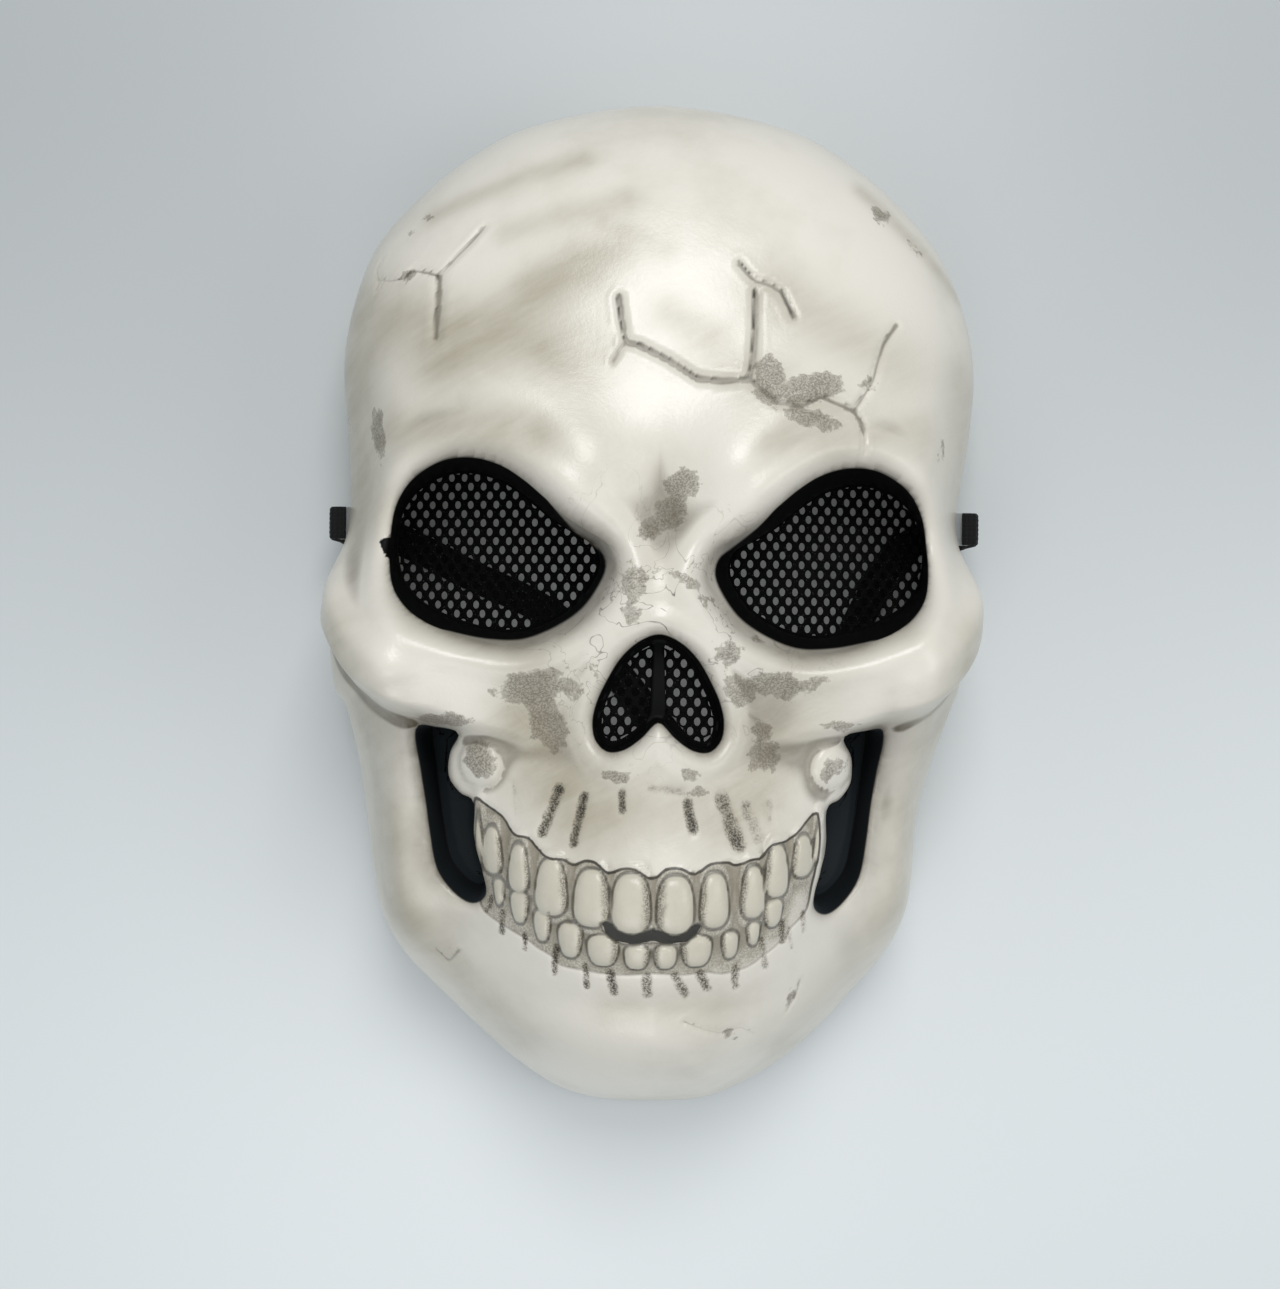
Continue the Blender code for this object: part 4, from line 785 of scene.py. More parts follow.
def recesses():
    """Each recess: its outline, how its points are drawn in, its floor, and the holes in that floor."""
    found = []
    for side in (-1, 1):
        found.append((eye_outline(side), lambda spot, side=side: eye_drawn_in(spot, side, EYE_FOOT),
                      eye_floor, [eye_hole(side)]))
        pocket = pocket_outline(side)
        found.append((pocket, lambda spot, line=pocket: sink(spot, line, POCKET_WALL_INSET),
                      pocket_floor, []))
    nose = nose_outline()
    found.append((nose, lambda spot: sink(spot, nose, NOSE_WALL_INSET), nose_floor, nostril_outlines()))
    return found


def outer_skin():
    """The outer surface with its recesses and holes, as points and triangles, open along its edges."""
    points, quads, rim = face_grid()
    held = rim.copy()
    lids = []
    for recess in recesses():
        points, state = snap_to_outline(points, quads, held, recess[0])
        held |= state == 0
        lids.append(state)
    points, slit = snap_to_outline(points, quads, held, slit_outline())
    held |= slit == 0
    marks = np.min([np.abs(state) for state in lids + [slit]], 0)
    for _, _, line in CRACKS:
        points, moved = snap_to_line(points, quads, held, line)
        marks[moved] = 0
        held[moved] = True
    faces = quads_to_triangles(quads, marks)
    verts = np.column_stack([points, face_height(points)])
    kept = (slit[faces] >= 0).all(1) | (slit[faces] > 0).any(1)
    for state in lids:
        kept &= (state[faces] > 0).any(1)
    return verts, faces[kept], faces, lids


def wall_and_floor(verts, skin, faces, state, recess):
    """Add one recess: its rounded wall, ring by ring, then its floor with the holes cut out."""
    _, draw_in, floor, holes = recess
    inside = faces[(state[faces] <= 0).all(1)]
    used = np.unique(inside)
    loop = boundary_edges(inside)
    sunk = np.zeros_like(verts)
    sunk[used, :2] = draw_in(verts[used, :2])
    sunk[used, 2] = floor(sunk[used, :2])
    ring = np.unique(loop)
    last = np.arange(len(verts))
    walls = []
    for share in WALL_RINGS[:-1]:
        lean = 1 - (1 - share) ** 2.2
        place = verts[ring].copy()
        place[:, :2] += (sunk[ring, :2] - verts[ring, :2]) * lean
        place[:, 2] += (sunk[ring, 2] - verts[ring, 2]) * share
        following = np.full(len(sunk), -1)
        following[ring] = len(verts) + np.arange(len(ring))
        verts = np.vstack([verts, place])
        a, b = last[loop[:, 0]], last[loop[:, 1]]
        c, d = following[loop[:, 1]], following[loop[:, 0]]
        walls += [np.column_stack([a, b, c]), np.column_stack([a, c, d])]
        last = following
    fresh = np.full(len(sunk), -1)
    fresh[used] = len(verts) + np.arange(len(used))
    count = len(verts)
    low = fresh[inside]
    a, b = last[loop[:, 0]], last[loop[:, 1]]
    c, d = fresh[loop[:, 1]], fresh[loop[:, 0]]
    walls += [np.column_stack([a, b, c]), np.column_stack([a, c, d])]
    verts = np.vstack([verts, sunk[used]])
    held = fresh[ring]
    for hole in holes:
        distance = np.full(len(verts), 99.0)
        outward = np.zeros((len(verts), 2))
        distance[count:], outward[count:] = outline_distance(verts[count:, :2], hole)
        edges = np.vstack([low[:, [0, 1]], low[:, [1, 2]], low[:, [2, 0]]])
        crossing = edges[distance[edges[:, 0]] * distance[edges[:, 1]] < 0]
        reach = np.abs(distance)
        reach[held] = 99.0
        chosen = np.unique(crossing[np.arange(len(crossing)), reach[crossing].argmin(1)])
        held = np.concatenate([held, chosen])
        verts[chosen, :2] -= outward[chosen] * distance[chosen][:, None]
        verts[chosen, 2] = floor(verts[chosen, :2])
        distance[chosen] = 0
        low = low[(distance[low] > 0).any(1)]
    return verts, np.vstack([skin] + walls + [low])


def spread_sum(count, edges, values):
    """Sum of the values of each point's neighbours, over all edges both ways."""
    total = np.zeros((count, values.shape[1]))
    for column in range(values.shape[1]):
        total[:, column] = np.bincount(edges[:, 0], values[edges[:, 1], column], count)
    return total


def thicken(verts, faces, wall):
    """Close a skin into a wall: its copy is drawn inward along the points' normals and joined on.

    A normal is the mean of its faces' normals, each weighted by its corner's angle. The copy is then
    relaxed towards the mean of each point's neighbours, as a formed sheet is rounder on its back.
    """
    cross = np.cross(verts[faces[:, 1]] - verts[faces[:, 0]], verts[faces[:, 2]] - verts[faces[:, 0]])
    cross /= np.maximum(np.linalg.norm(cross, axis=1), 1e-12)[:, None]
    normals = np.zeros_like(verts)
    for corner in range(3):
        here = verts[faces[:, corner]]
        ahead = verts[faces[:, (corner + 1) % 3]] - here
        behind = verts[faces[:, (corner + 2) % 3]] - here
        size = np.linalg.norm(ahead, axis=1) * np.linalg.norm(behind, axis=1)
        angle = np.arccos(np.clip((ahead * behind).sum(1) / np.maximum(size, 1e-12), -1, 1))
        for axis in range(3):
            normals[:, axis] += np.bincount(faces[:, corner], cross[:, axis] * angle, len(verts))
    normals /= np.maximum(np.linalg.norm(normals, axis=1), 1e-12)[:, None]
    edges = np.vstack([faces[:, [0, 1]], faces[:, [1, 2]], faces[:, [2, 0]]])
    edges = np.unique(np.vstack([edges, edges[:, ::-1]]), axis=0)
    near = np.bincount(edges[:, 0], minlength=len(verts))[:, None]
    rim_edges = boundary_edges(faces)
    loose = np.zeros(len(verts), bool)
    loose[np.unique(rim_edges)] = True
    smooth = normals.copy()
    for _ in range(3):
        smooth = 0.5 * smooth + 0.5 * spread_sum(len(verts), edges, smooth) / near
    smooth /= np.maximum(np.linalg.norm(smooth, axis=1), 1e-12)[:, None]
    inner = verts - smooth * wall
    rim = verts[:, 2] < RIM_ARCH_HEIGHT + 0.01
    inner[loose & rim, 2] = verts[loose & rim, 2]
    moving = ~loose
    for _ in range(10):
        mean = spread_sum(len(verts), edges, inner) / near
        inner[moving] += 0.55 * (mean[moving] - inner[moving])
        shortfall = np.maximum(0.6 * wall - ((verts - inner) * normals).sum(1), 0)
        inner[moving] -= (normals * shortfall[:, None])[moving]
    count = len(verts)
    a, b = rim_edges[:, 0], rim_edges[:, 1]
    side = np.vstack([np.column_stack([b, a, a + count]), np.column_stack([b, a + count, b + count])])
    return np.vstack([verts, inner]), np.vstack([faces, faces[:, ::-1] + count, side])


def mesh_from(name, verts, faces):
    """A mesh from points in millimetres and faces that all have the same number of corners."""
    faces = np.asarray(faces)
    mesh = bpy.data.meshes.new(name)
    mesh.vertices.add(len(verts))
    mesh.vertices.foreach_set("co", (np.asarray(verts) * MM).astype(np.float32).ravel())
    mesh.loops.add(faces.size)
    mesh.loops.foreach_set("vertex_index", faces.astype(np.int32).ravel())
    mesh.polygons.add(len(faces))
    mesh.polygons.foreach_set("loop_start", np.arange(0, faces.size, faces.shape[1], dtype=np.int32))
    mesh.update(calc_edges=True)
    mesh.validate()
    return mesh


def add_piece(name, mesh, material, replaced=()):
    """Put a finished mesh into the scene as a piece that rides on the mask."""
    piece = bpy.data.objects.new(name, mesh)
    bpy.context.scene.collection.objects.link(piece)
    mesh.materials.append(material)
    mesh.polygons.foreach_set("use_smooth", np.ones(len(mesh.polygons), bool))
    if replaced:
        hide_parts(*replaced)
    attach(piece, "root")
    return piece


def set_attribute(mesh, name, values):
    """Store one number at each point of a mesh."""
    layer = mesh.attributes.new(name, "FLOAT", "POINT")
    layer.data.foreach_set("value", np.asarray(values, np.float32))


def places_of(mesh):
    """The places of a mesh's points in millimetres."""
    places = np.empty(len(mesh.vertices) * 3)
    mesh.vertices.foreach_get("co", places)
    return places.reshape(-1, 3) / MM


def plug(tree, socket, value):
    """Link a value to a socket, or set the socket to a number, a vector or a colour."""
    if isinstance(value, Value):
        tree.links.new(value.socket, socket)
    elif socket.type == "RGBA":
        socket.default_value = (*value[:3], 1.0)
    else:
        socket.default_value = value


class Value:
    """A socket of a node tree that takes part in Python sums, each of which adds a Math node."""

    def __init__(self, tree, socket):
        self.tree, self.socket = tree, socket

    def math(self, operation, *others, clamp=False):
        """Add a Math node that works on this value and the others, in this order."""
        return add_math(self.tree, operation, (self, *others), clamp)

    def __add__(self, other):
        return self.math("ADD", other)

    __radd__ = __add__

    def __sub__(self, other):
        return self.math("SUBTRACT", other)

    def __rsub__(self, other):
        return add_math(self.tree, "SUBTRACT", (other, self))

    def __mul__(self, other):
        return self.math("MULTIPLY", other)

    __rmul__ = __mul__

    def clamp(self):
        """The value, kept between 0 and 1."""
        return self.math("ADD", 0.0, clamp=True)

    def step(self, low, high):
        """Smooth rise from 0 at low to 1 at high."""
        node = self.tree.nodes.new("ShaderNodeMapRange")
        node.interpolation_type = "SMOOTHSTEP"
        self.tree.links.new(self.socket, node.inputs["Value"])
        node.inputs["From Min"].default_value = low
        node.inputs["From Max"].default_value = high
        return Value(self.tree, node.outputs["Result"])

    def largest(self, other):
        """The greater of two values."""
        return self.math("MAXIMUM", other)


def add_math(tree, operation, values, clamp=False):
    """Add one Math node whose inputs are linked or set in order."""
    node = tree.nodes.new("ShaderNodeMath")
    node.operation, node.use_clamp = operation, clamp
    for socket, value in zip(node.inputs, values):
        plug(tree, socket, value)
    return Value(tree, node.outputs[0])


class Finish:
    """A material being made: its tree, its shader, and one method that adds any node."""

    def __init__(self, name):
        self.material = bpy.data.materials.new(name)
        self.material.use_nodes = True
        self.tree = self.material.node_tree
        self.shader = self.tree.nodes["Principled BSDF"]
        self.place = self.node("ShaderNodeTexCoord")["Object"]

    def node(self, kind, settings=None, **inputs):
        """Add a node: its settings come first, then values or links for its sockets by name."""
        node = self.tree.nodes.new(kind)
        for key, value in (settings or {}).items():
            setattr(node, key, value)
        for key, value in inputs.items():
            plug(self.tree, node.inputs[key.replace("_", " ")], value)
        return {socket.name: Value(self.tree, socket) for socket in reversed(node.outputs)}

    def attribute(self, name):
        """A number stored at the mesh's points."""
        return self.node("ShaderNodeAttribute", {"attribute_name": name})["Fac"]

    def noise(self, scale, detail, rough, where=None, twist=0.0):
        """Cloudy noise from 0 to 1, its scale in features for each metre."""
        return self.node("ShaderNodeTexNoise", Vector=where or self.place, Scale=scale, Detail=detail,
                         Roughness=rough, Distortion=twist)["Fac"]

    def stretched(self, scale, turn):
        """The place, turned and then scaled by axis, for streaks."""
        turned = self.node("ShaderNodeMapping", Vector=self.place, Rotation=turn)["Vector"]
        return self.node("ShaderNodeMapping", Vector=turned, Scale=scale)["Vector"]

    def mix(self, share, first, second):
        """A colour between two colours."""
        node = self.tree.nodes.new("ShaderNodeMix")
        node.data_type = "RGBA"
        for number, value in ((0, share), (6, first), (7, second)):
            plug(self.tree, node.inputs[number], value)
        return Value(self.tree, node.outputs[2])

    def feed(self, name, value):
        """Link or set one socket of the shader."""
        plug(self.tree, self.shader.inputs[name], value)

    def bump(self, height, distance, strength):
        """Turn a height from 0 to 1 into the shader's normal, its distance in metres."""
        normal = self.node("ShaderNodeBump", Height=height, Distance=distance, Strength=strength)
        self.feed("Normal", normal["Normal"])


def linear(red, green, blue):
    """A colour from the values of a picture, 0 to 255, as Blender's linear numbers."""
    share = np.array([red, green, blue]) / 255
    return tuple(np.where(share <= 0.04045, share / 12.92, ((share + 0.055) / 1.055) ** 2.4))


class ShellSettings(bpy.types.PropertyGroup):
    """Sizes and colours of the formed face."""

    bone: FloatVectorProperty(
        name="Bone paint", description="Colour of the clean ivory paint", subtype="COLOR",
        default=linear(232, 226, 214), min=0, max=1)
    # The rubbed grey is partly painted shade where the smears run along the temples, sides and jaw
    shade: FloatVectorProperty(
        name="Shaded paint", description="Colour of the paint where it is rubbed grey", subtype="COLOR",
        default=linear(176, 168, 148), min=0, max=1)
    # The brown also serves as painted shade in the hollows of the face
    stain: FloatVectorProperty(
        name="Stain", description="Colour of the brown stains and of the dirt in grooves",
        subtype="COLOR", default=linear(98, 89, 72), min=0, max=1)
    socket: FloatVectorProperty(
        name="Socket paint", description="Colour inside the eye sockets and the nose", subtype="COLOR",
        default=linear(5, 5, 5), min=0, max=1)
    pocket: FloatVectorProperty(
        name="Pocket paint", description="Colour inside the cheek pockets", subtype="COLOR",
        default=linear(18, 28, 32), min=0, max=1)
    wall: FloatProperty(
        name="Wall", description="Thickness of the formed sheet", default=SHELL_WALL * MM,
        min=0.0005, unit="LENGTH")
    gloss: FloatProperty(
        name="Roughness", description="Roughness of the clean paint", default=0.24, min=0, max=1,
        subtype="FACTOR")


class MeshSettings(bpy.types.PropertyGroup):
    """Sizes and colours of the black mesh panels."""

    pitch: FloatProperty(
        name="Hole pitch", description="Distance between two holes in a row", default=3.45 * MM,
        min=0.001, unit="LENGTH")
    row: FloatProperty(
        name="Row pitch", description="Distance between two rows of holes", default=2.4 * MM,
        min=0.001, unit="LENGTH")
    hole: FloatVectorProperty(
        name="Hole size", description="Width and height of a hole", size=2,
        default=(1.6 * MM, 2.15 * MM), min=0.0005, unit="LENGTH")
    corners: IntProperty(
        name="Hole corners", description="Corners of each hole", default=12, min=6, max=24)
    colour: FloatVectorProperty(
        name="Mesh colour", description="Colour of the mesh", subtype="COLOR",
        default=linear(6, 6, 6), min=0, max=1)


class StrapSettings(bpy.types.PropertyGroup):
    """Sizes and colours of the strap and its tabs."""

    width: FloatProperty(
        name="Strap width", description="Width of the elastic", default=STRAP_WIDTH * MM, min=0.003,
        unit="LENGTH")
    thickness: FloatProperty(
        name="Strap thickness", description="Thickness of the elastic", default=STRAP_THICKNESS * MM,
        min=0.0005, unit="LENGTH")
    colour: FloatVectorProperty(
        name="Strap colour", description="Colour of the elastic", subtype="COLOR",
        default=linear(12, 12, 13), min=0, max=1)
    tab: FloatVectorProperty(
        name="Tab colour", description="Colour of the clear tabs", subtype="COLOR",
        default=linear(225, 228, 228), min=0, max=1)


class StageSettings(bpy.types.PropertyGroup):
    """Floor, light and camera."""

    floor: FloatVectorProperty(
        name="Floor", description="Colour of the floor below the chin", subtype="COLOR",
        default=linear(232, 236, 236), min=0, max=1)
    shaded_far_floor: FloatVectorProperty(
        # Painted shade: the darker floor beyond the crown stands for the floor in less light
        name="Far floor", description="Colour of the floor beyond the crown", subtype="COLOR",
        default=linear(187, 191, 191), min=0, max=1)
    light: FloatProperty(
        name="Light", description="Power of the large soft light", default=2.9, min=0, unit="POWER")
    height: FloatProperty(
        name="Camera height", description="Height of the camera over the floor", default=0.458,
        min=0.1, unit="LENGTH")


def face_marks(places, lining):
    """Paint masks at each point of the face.

    Masks with a crisp edge are stored as distances in millimetres, and the paint cuts them at 0.
    """
    flat = places[:, :2]
    front = 1 - lining
    sunk = np.clip(face_height(flat) - places[:, 2], -3, 3)
    socket = np.full(len(places), -3.0)
    hole = np.full(len(places), 9.0)
    grime = np.zeros(len(places))
    pocket = np.full(len(places), -3.0)
    for side in (-1, 1):
        eye = near_outline(flat, eye_outline(side), 20.0)
        centre = EYE_CENTRES[side > 0]
        inward = np.clip(-side * (flat[:, 0] - centre[0]) / 28, -1, 1)
        low = np.clip((centre[1] - flat[:, 1]) / 23, -1, 1)
        lit = np.clip(0.9 * inward + 0.7 * low, 0, 1) * 1.7
        socket = np.maximum(socket, (0.1 - 1.5 * lit - eye) / (1 + lit))
        undercut = (eye > -0.3) & (eye < 4.5)
        beyond = sunk - 0.5 - 2.5 * lit - 6 * np.clip(inward, 0, 1)
        socket = np.maximum(socket, np.where(undercut, beyond, -3.0))
        grime = np.maximum(grime, 0.6 * np.exp(-np.maximum(eye, 0) / (1.0 + lit)))
        hole = np.minimum(hole, near_outline(flat, eye_hole(side), 9.0))
        cheek = near_outline(flat, pocket_outline(side), 20.0)
        pocket = np.maximum(pocket, 0.05 - cheek)
        outer = np.clip(side * (flat[:, 0] - side * 50) / 8, 0, 1)
        grime = np.maximum(grime, np.exp(-np.maximum(cheek, 0) / (1.2 + 2.6 * outer)) * (0.6 + 0.35 * outer))
    nose = near_outline(flat, nose_outline(), 20.0)
    socket = np.maximum(socket, 0.05 - nose)
    socket = np.maximum(socket, 0.1 - near_outline(flat, np.array(NICK), 4.0))
    grime = np.maximum(grime, 0.7 * np.exp(-np.maximum(nose, 0) / 1.6))
    for outline in nostril_outlines():
        hole = np.minimum(hole, near_outline(flat, outline, 9.0))
    tooth, gum, wash_side = tooth_marks(flat)
    slit = near_outline(flat, slit_outline(), 6.0)
    strokes = np.maximum(stroke_share(flat, ROOTS), stroke_share(flat, DRIPS))
    stain = np.zeros(len(places))
    for centre, half, turn, strength in STAINS:
        angle = np.radians(turn)
        away = flat - np.array(centre)
        first = (away[:, 0] * np.cos(angle) + away[:, 1] * np.sin(angle)) / half[0]
        second = (away[:, 1] * np.cos(angle) - away[:, 0] * np.sin(angle)) / half[1]
        stain = np.maximum(stain, strength * np.exp(-0.8 * (first**2 + second**2)))
    hair = np.exp(-((flat[:, 0] / 48) ** 2 + ((flat[:, 1] + 2) / 40) ** 2))
    # Painted shadow: a dark band along the rim, higher on the jaw, for the contact shadow on the floor
    jaw = smooth_step((-50 - flat[:, 1]) / 20)
    edge = smooth_step((0.8 + 2.4 * jaw - places[:, 2]) / 1.0)
    return {
        "socket": np.maximum(socket, -3) * front + (1.5 - hole) * lining,
        "pocket": np.maximum(pocket, -3) * front - 3 * lining,
        "tooth": tooth * front + 9 * lining, "gum": gum * front + 9 * lining,
        "slit": slit * front + 9 * lining,
        "side": wash_side * front, "strokes": strokes * front, "crack_dirt_and_shade": crack_relief(flat)[1] * front,
        "stain": stain * front, "wash_and_side_shade": wash_share(flat) * front, "grime": grime * front,
        "hair": hair * front, "edge": edge * front, "lining": lining,
    }


def tooth_marks(flat):
    """Distance to the nearest tooth and to the edge of the mouth, and the brown side of each tooth."""
    marks = np.array([[6.0], [6.0], [0.0]]) * np.ones(len(flat))
    close = by_the_mouth(flat)
    spot = flat[close]
    inside = np.full(len(spot), 6.0)
    brown = np.zeros(len(spot))
    for table, root_way in ((LOWER_TEETH, -1), (UPPER_TEETH, 1)):
        form, across, width = tooth_forms(spot, table, root_way)
        away = (form - 1) * width / 2
        nearest = away.argmin(1)
        rows = np.arange(len(spot))
        inside = np.minimum(inside, away[rows, nearest])
        facing = -np.sign(np.array(table)[nearest, 0]) * across[rows, nearest]
        brown = np.maximum(brown, np.clip((facing - 0.15) / 0.75, 0, 1) * (away[rows, nearest] < 0.3))
    marks[0, close] = inside
    marks[1, close] = near_outline(spot, mouth_outline(), 6.0)
    marks[2, close] = brown
    return marks


def cavity_of(mesh):
    """How hollow the surface is at each point: the mean rise of its neighbours along its normal."""
    places = places_of(mesh)
    normals = np.empty(len(mesh.vertices) * 3)
    mesh.vertices.foreach_get("normal", normals)
    normals = normals.reshape(-1, 3)
    edges = np.empty(len(mesh.edges) * 2, int)
    mesh.edges.foreach_get("vertices", edges)
    edges = edges.reshape(-1, 2)
    edges = np.vstack([edges, edges[:, ::-1]])
    count = len(places)
    near = np.maximum(np.bincount(edges[:, 0], minlength=count), 1)[:, None]
    mean = places.copy()
    for _ in range(12):
        mean = spread_sum(count, edges, mean) / near
    hollow = ((mean - places) * normals).sum(1)
    return np.clip(hollow / 0.9, -1, 1)


def thin_lining(mesh, lining, share):
    """Collapse the lining's triangles to a share of their number and leave the face as it is."""
    guide = bpy.data.objects.new("lining_guide", mesh)
    bpy.context.scene.collection.objects.link(guide)
    group = guide.vertex_groups.new(name="collapse")
    group.add(np.nonzero(lining > 0.5)[0].tolist(), 1.0, "REPLACE")
    set_attribute(mesh, "lining", lining)
    thin = guide.modifiers.new("Thin", "DECIMATE")
    thin.ratio = 0.5 + share / 2
    thin.vertex_group = group.name
    result = bpy.data.meshes.new_from_object(
        guide.evaluated_get(bpy.context.evaluated_depsgraph_get()))
    bpy.data.objects.remove(guide)
    return result


def shell_finish(settings):
    """Ivory gloss paint: grey-brown rubbing, stains, dirt in the grooves, painted shade, black recesses."""
    finish = Finish("painted_shell")
    bone, shade = tuple(settings.bone), tuple(settings.shade)
    brown = tuple(settings.stain)
    dark = tuple(channel * 0.22 for channel in brown)
    clouds = finish.noise(24.0, 5.0, 0.6)
    patches = finish.noise(110.0, 5.0, 0.62, twist=0.5)
    medium = finish.noise(330.0, 4.0, 0.6, twist=0.3)
    fine = finish.noise(800.0, 3.0, 0.65)
    grain = finish.noise(2100.0, 2.0, 0.6)
    brush = finish.noise(30.0, 5.0, 0.7, where=finish.stretched((1.0, 6.0, 1.0), (0.0, 0.0, -0.50)))
    rough_edge = (patches - 0.5) * 1.6 + (medium - 0.5) * 1.3 + (fine - 0.5) * 0.5
    speckle = grain.step(0.38, 0.60)
    # Grey-beige smears, partly painted shade along the sides
    wash_and_side_shade = finish.attribute("wash_and_side_shade") * (0.45 + brush * 1.1) + clouds.step(0.42, 0.75) * 0.32
    painted = finish.mix(wash_and_side_shade.clamp(), bone, shade)
    tooth, gum = finish.attribute("tooth"), finish.attribute("gum")
    mouth = 1 - gum.step(-0.25, 0.25)
    enamel = mouth * (1 - tooth.step(-0.2, 0.3)) * (0.65 + 0.5 * medium)
    painted = finish.mix(enamel.clamp(), painted, linear(206, 199, 181))
    # Painted shade browns the hollows, found from the shape; round the recesses the brown is airbrushed
    # paint
    hollow = finish.attribute("cavity").step(0.04, 0.60)
    airbrush_and_hollow_shade = finish.attribute("grime") * (0.20 + patches * 1.1) + hollow * (0.25 + patches * 0.7)
    brown_and_shaded = finish.mix(airbrush_and_hollow_shade.clamp(), painted, brown)
    ridge = (finish.noise(70.0, 3.0, 0.5, twist=1.2) - 0.5).math("ABSOLUTE").step(0.0, 0.008)
    hair = (1 - ridge) * (finish.attribute("hair") * 1.2 + clouds - 0.95).clamp()
    haired = finish.mix((hair * (0.3 + medium)).clamp(), brown_and_shaded, dark)
    spot = finish.attribute("stain") + rough_edge * 0.55
    torn = spot.step(0.36, 0.58)
    border = spot.step(0.36, 0.42) - spot.step(0.44, 0.54)
    density = torn * (0.14 + 0.50 * patches + 0.34 * speckle)
    stained = finish.mix((density + border * medium * 0.5).clamp(), haired, brown)
    ground = mouth * tooth.step(0.0, 0.45)
    dirt = ground * (0.18 + patches * 0.55 + speckle * 0.35) * (1 - 0.6 * tooth.step(1.5, 4.0))
    toothed = finish.mix(dirt.clamp(), stained, half_way(brown, shade))
    side = (finish.attribute("side") * mouth + rough_edge * 0.35).step(0.30, 0.95)
    sided = finish.mix((side * (0.25 + 0.55 * speckle)).clamp(), toothed, brown)
    smear = finish.attribute("strokes") * (1 + rough_edge * 1.5)
    stroke, core = smear.step(0.15, 0.60), smear.step(0.50, 1.05)
    # Dirt in the cracks, darker on their upper walls as painted shade
    crack_dirt_and_shade = finish.attribute("crack_dirt_and_shade").step(0.22, 0.75) * (0.55 + patches * 0.7)
    around = (1 - (tooth - 0.15).math("ABSOLUTE").step(0.10, 0.50)) * mouth * 0.75
    parts = finish.node("ShaderNodeSeparateXYZ", Vector=finish.place)
    up, high = parts["Y"], parts["Z"]
    gum_line = (1 - (gum + 0.05).math("ABSOLUTE").step(0.18, 0.50)) * (0.30 + 0.70 * up.step(-0.078, -0.068))
    parted = (1 - finish.attribute("slit").step(0.1, 0.9)) * 0.8
    line = around.largest(gum_line).largest(parted) * (0.65 + patches * 0.6)
    smeared = finish.mix((stroke * (0.30 + 0.60 * speckle)).clamp(), sided, brown)
    streaked = finish.mix((core * (0.35 + 0.65 * speckle)).clamp(), smeared, dark)
    lined = finish.mix(crack_dirt_and_shade.largest(line).clamp() * 0.92, streaked, dark)
    # Painted shadow along the rim, fading out between 1 and 3.5 mm above the floor
    edge = finish.attribute("edge") * (1 - high.step(0.001, 0.0035))
    rim_shadowed = finish.mix((edge * (0.35 + patches)).clamp(), lined, dark)
    deep = finish.attribute("pocket").step(-0.15, 0.20)
    pocketed = finish.mix(deep, rim_shadowed, tuple(settings.pocket))
    inside = finish.mix(clouds, linear(216, 210, 198), linear(196, 189, 175))
    lining = finish.attribute("lining")
    lined_back = finish.mix(lining.step(0.4, 0.6), pocketed, inside)
    finish.feed("Base Color", lined_back)
    rough = settings.gloss + 0.10 * clouds + 0.25 * torn * speckle + 0.15 * hollow + 0.22 * lining
    finish.feed("Roughness", (rough + 0.5 * deep + 0.2 * ground).clamp())
    finish.bump(fine * 0.6 + torn * grain * 0.8 + 0.6 * patches + stroke * grain * 0.8, 0.00022, 0.5)
    # The matt black of the sockets takes almost no gloss, so it is a shader of its own
    matt = finish.node("ShaderNodeBsdfPrincipled", Base_Color=tuple(settings.socket), Roughness=0.55,
                       Specular_IOR_Level=0.12)["BSDF"]
    black = finish.attribute("socket").step(-0.15, 0.20)
    blend = finish.tree.nodes.new("ShaderNodeMixShader")
    finish.tree.links.new(black.socket, blend.inputs[0])
    finish.tree.links.new(finish.shader.outputs[0], blend.inputs[1])
    finish.tree.links.new(matt.socket, blend.inputs[2])
    finish.tree.links.new(blend.outputs[0], finish.tree.nodes["Material Output"].inputs["Surface"])
    return finish.material


def half_way(first, second):
    """The colour half-way between two colours."""
    return tuple((a + b) / 2 for a, b in zip(first, second))


class MASK_OT_shell(bpy.types.Operator):
    """Build the formed and painted face"""

    bl_idname = "mask.build_shell"
    bl_label = "Painted face"

    def execute(self, context):
        settings = context.scene.mask_shell
        verts, skin, faces, lids = outer_skin()
        for state, recess in zip(lids, recesses()):
            state = np.concatenate([state, np.ones(len(verts) - len(state), int)])
            verts, skin = wall_and_floor(verts, skin, faces, state, recess)
        used = np.unique(skin)
        renumber = np.full(len(verts), -1)
        renumber[used] = np.arange(len(used))
        verts, skin = verts[used], renumber[skin]
        # The open edge takes the height of the rim or its arch, read just outside the outline
        low = np.unique(boundary_edges(skin))
        low = low[verts[low, 2] < RIM_ARCH_HEIGHT + 0.5]
        verts[low, 2] = face_height(verts[low, :2] * 1.02)
        outer = len(verts)
        verts, skin = thicken(verts, skin, settings.wall / MM)
        mesh = mesh_from("mask_face", verts, skin)
        lining = np.zeros(len(verts))
        lining[outer:] = 1
        mesh = thin_lining(mesh, lining, LINING_SHARE)
        mesh.name = "mask_face"
        # Marks are worked out again at the points that are left after thinning
        values = np.empty(len(mesh.vertices), np.float32)
        mesh.attributes["lining"].data.foreach_get("value", values)
        mesh.attributes.remove(mesh.attributes["lining"])
        for name, mark in face_marks(places_of(mesh), values.astype(float)).items():
            set_attribute(mesh, name, mark)
        set_attribute(mesh, "cavity", cavity_of(mesh))
        add_piece("mask_face", mesh, shell_finish(settings), ["mask_shell"])
        return {"FINISHED"}


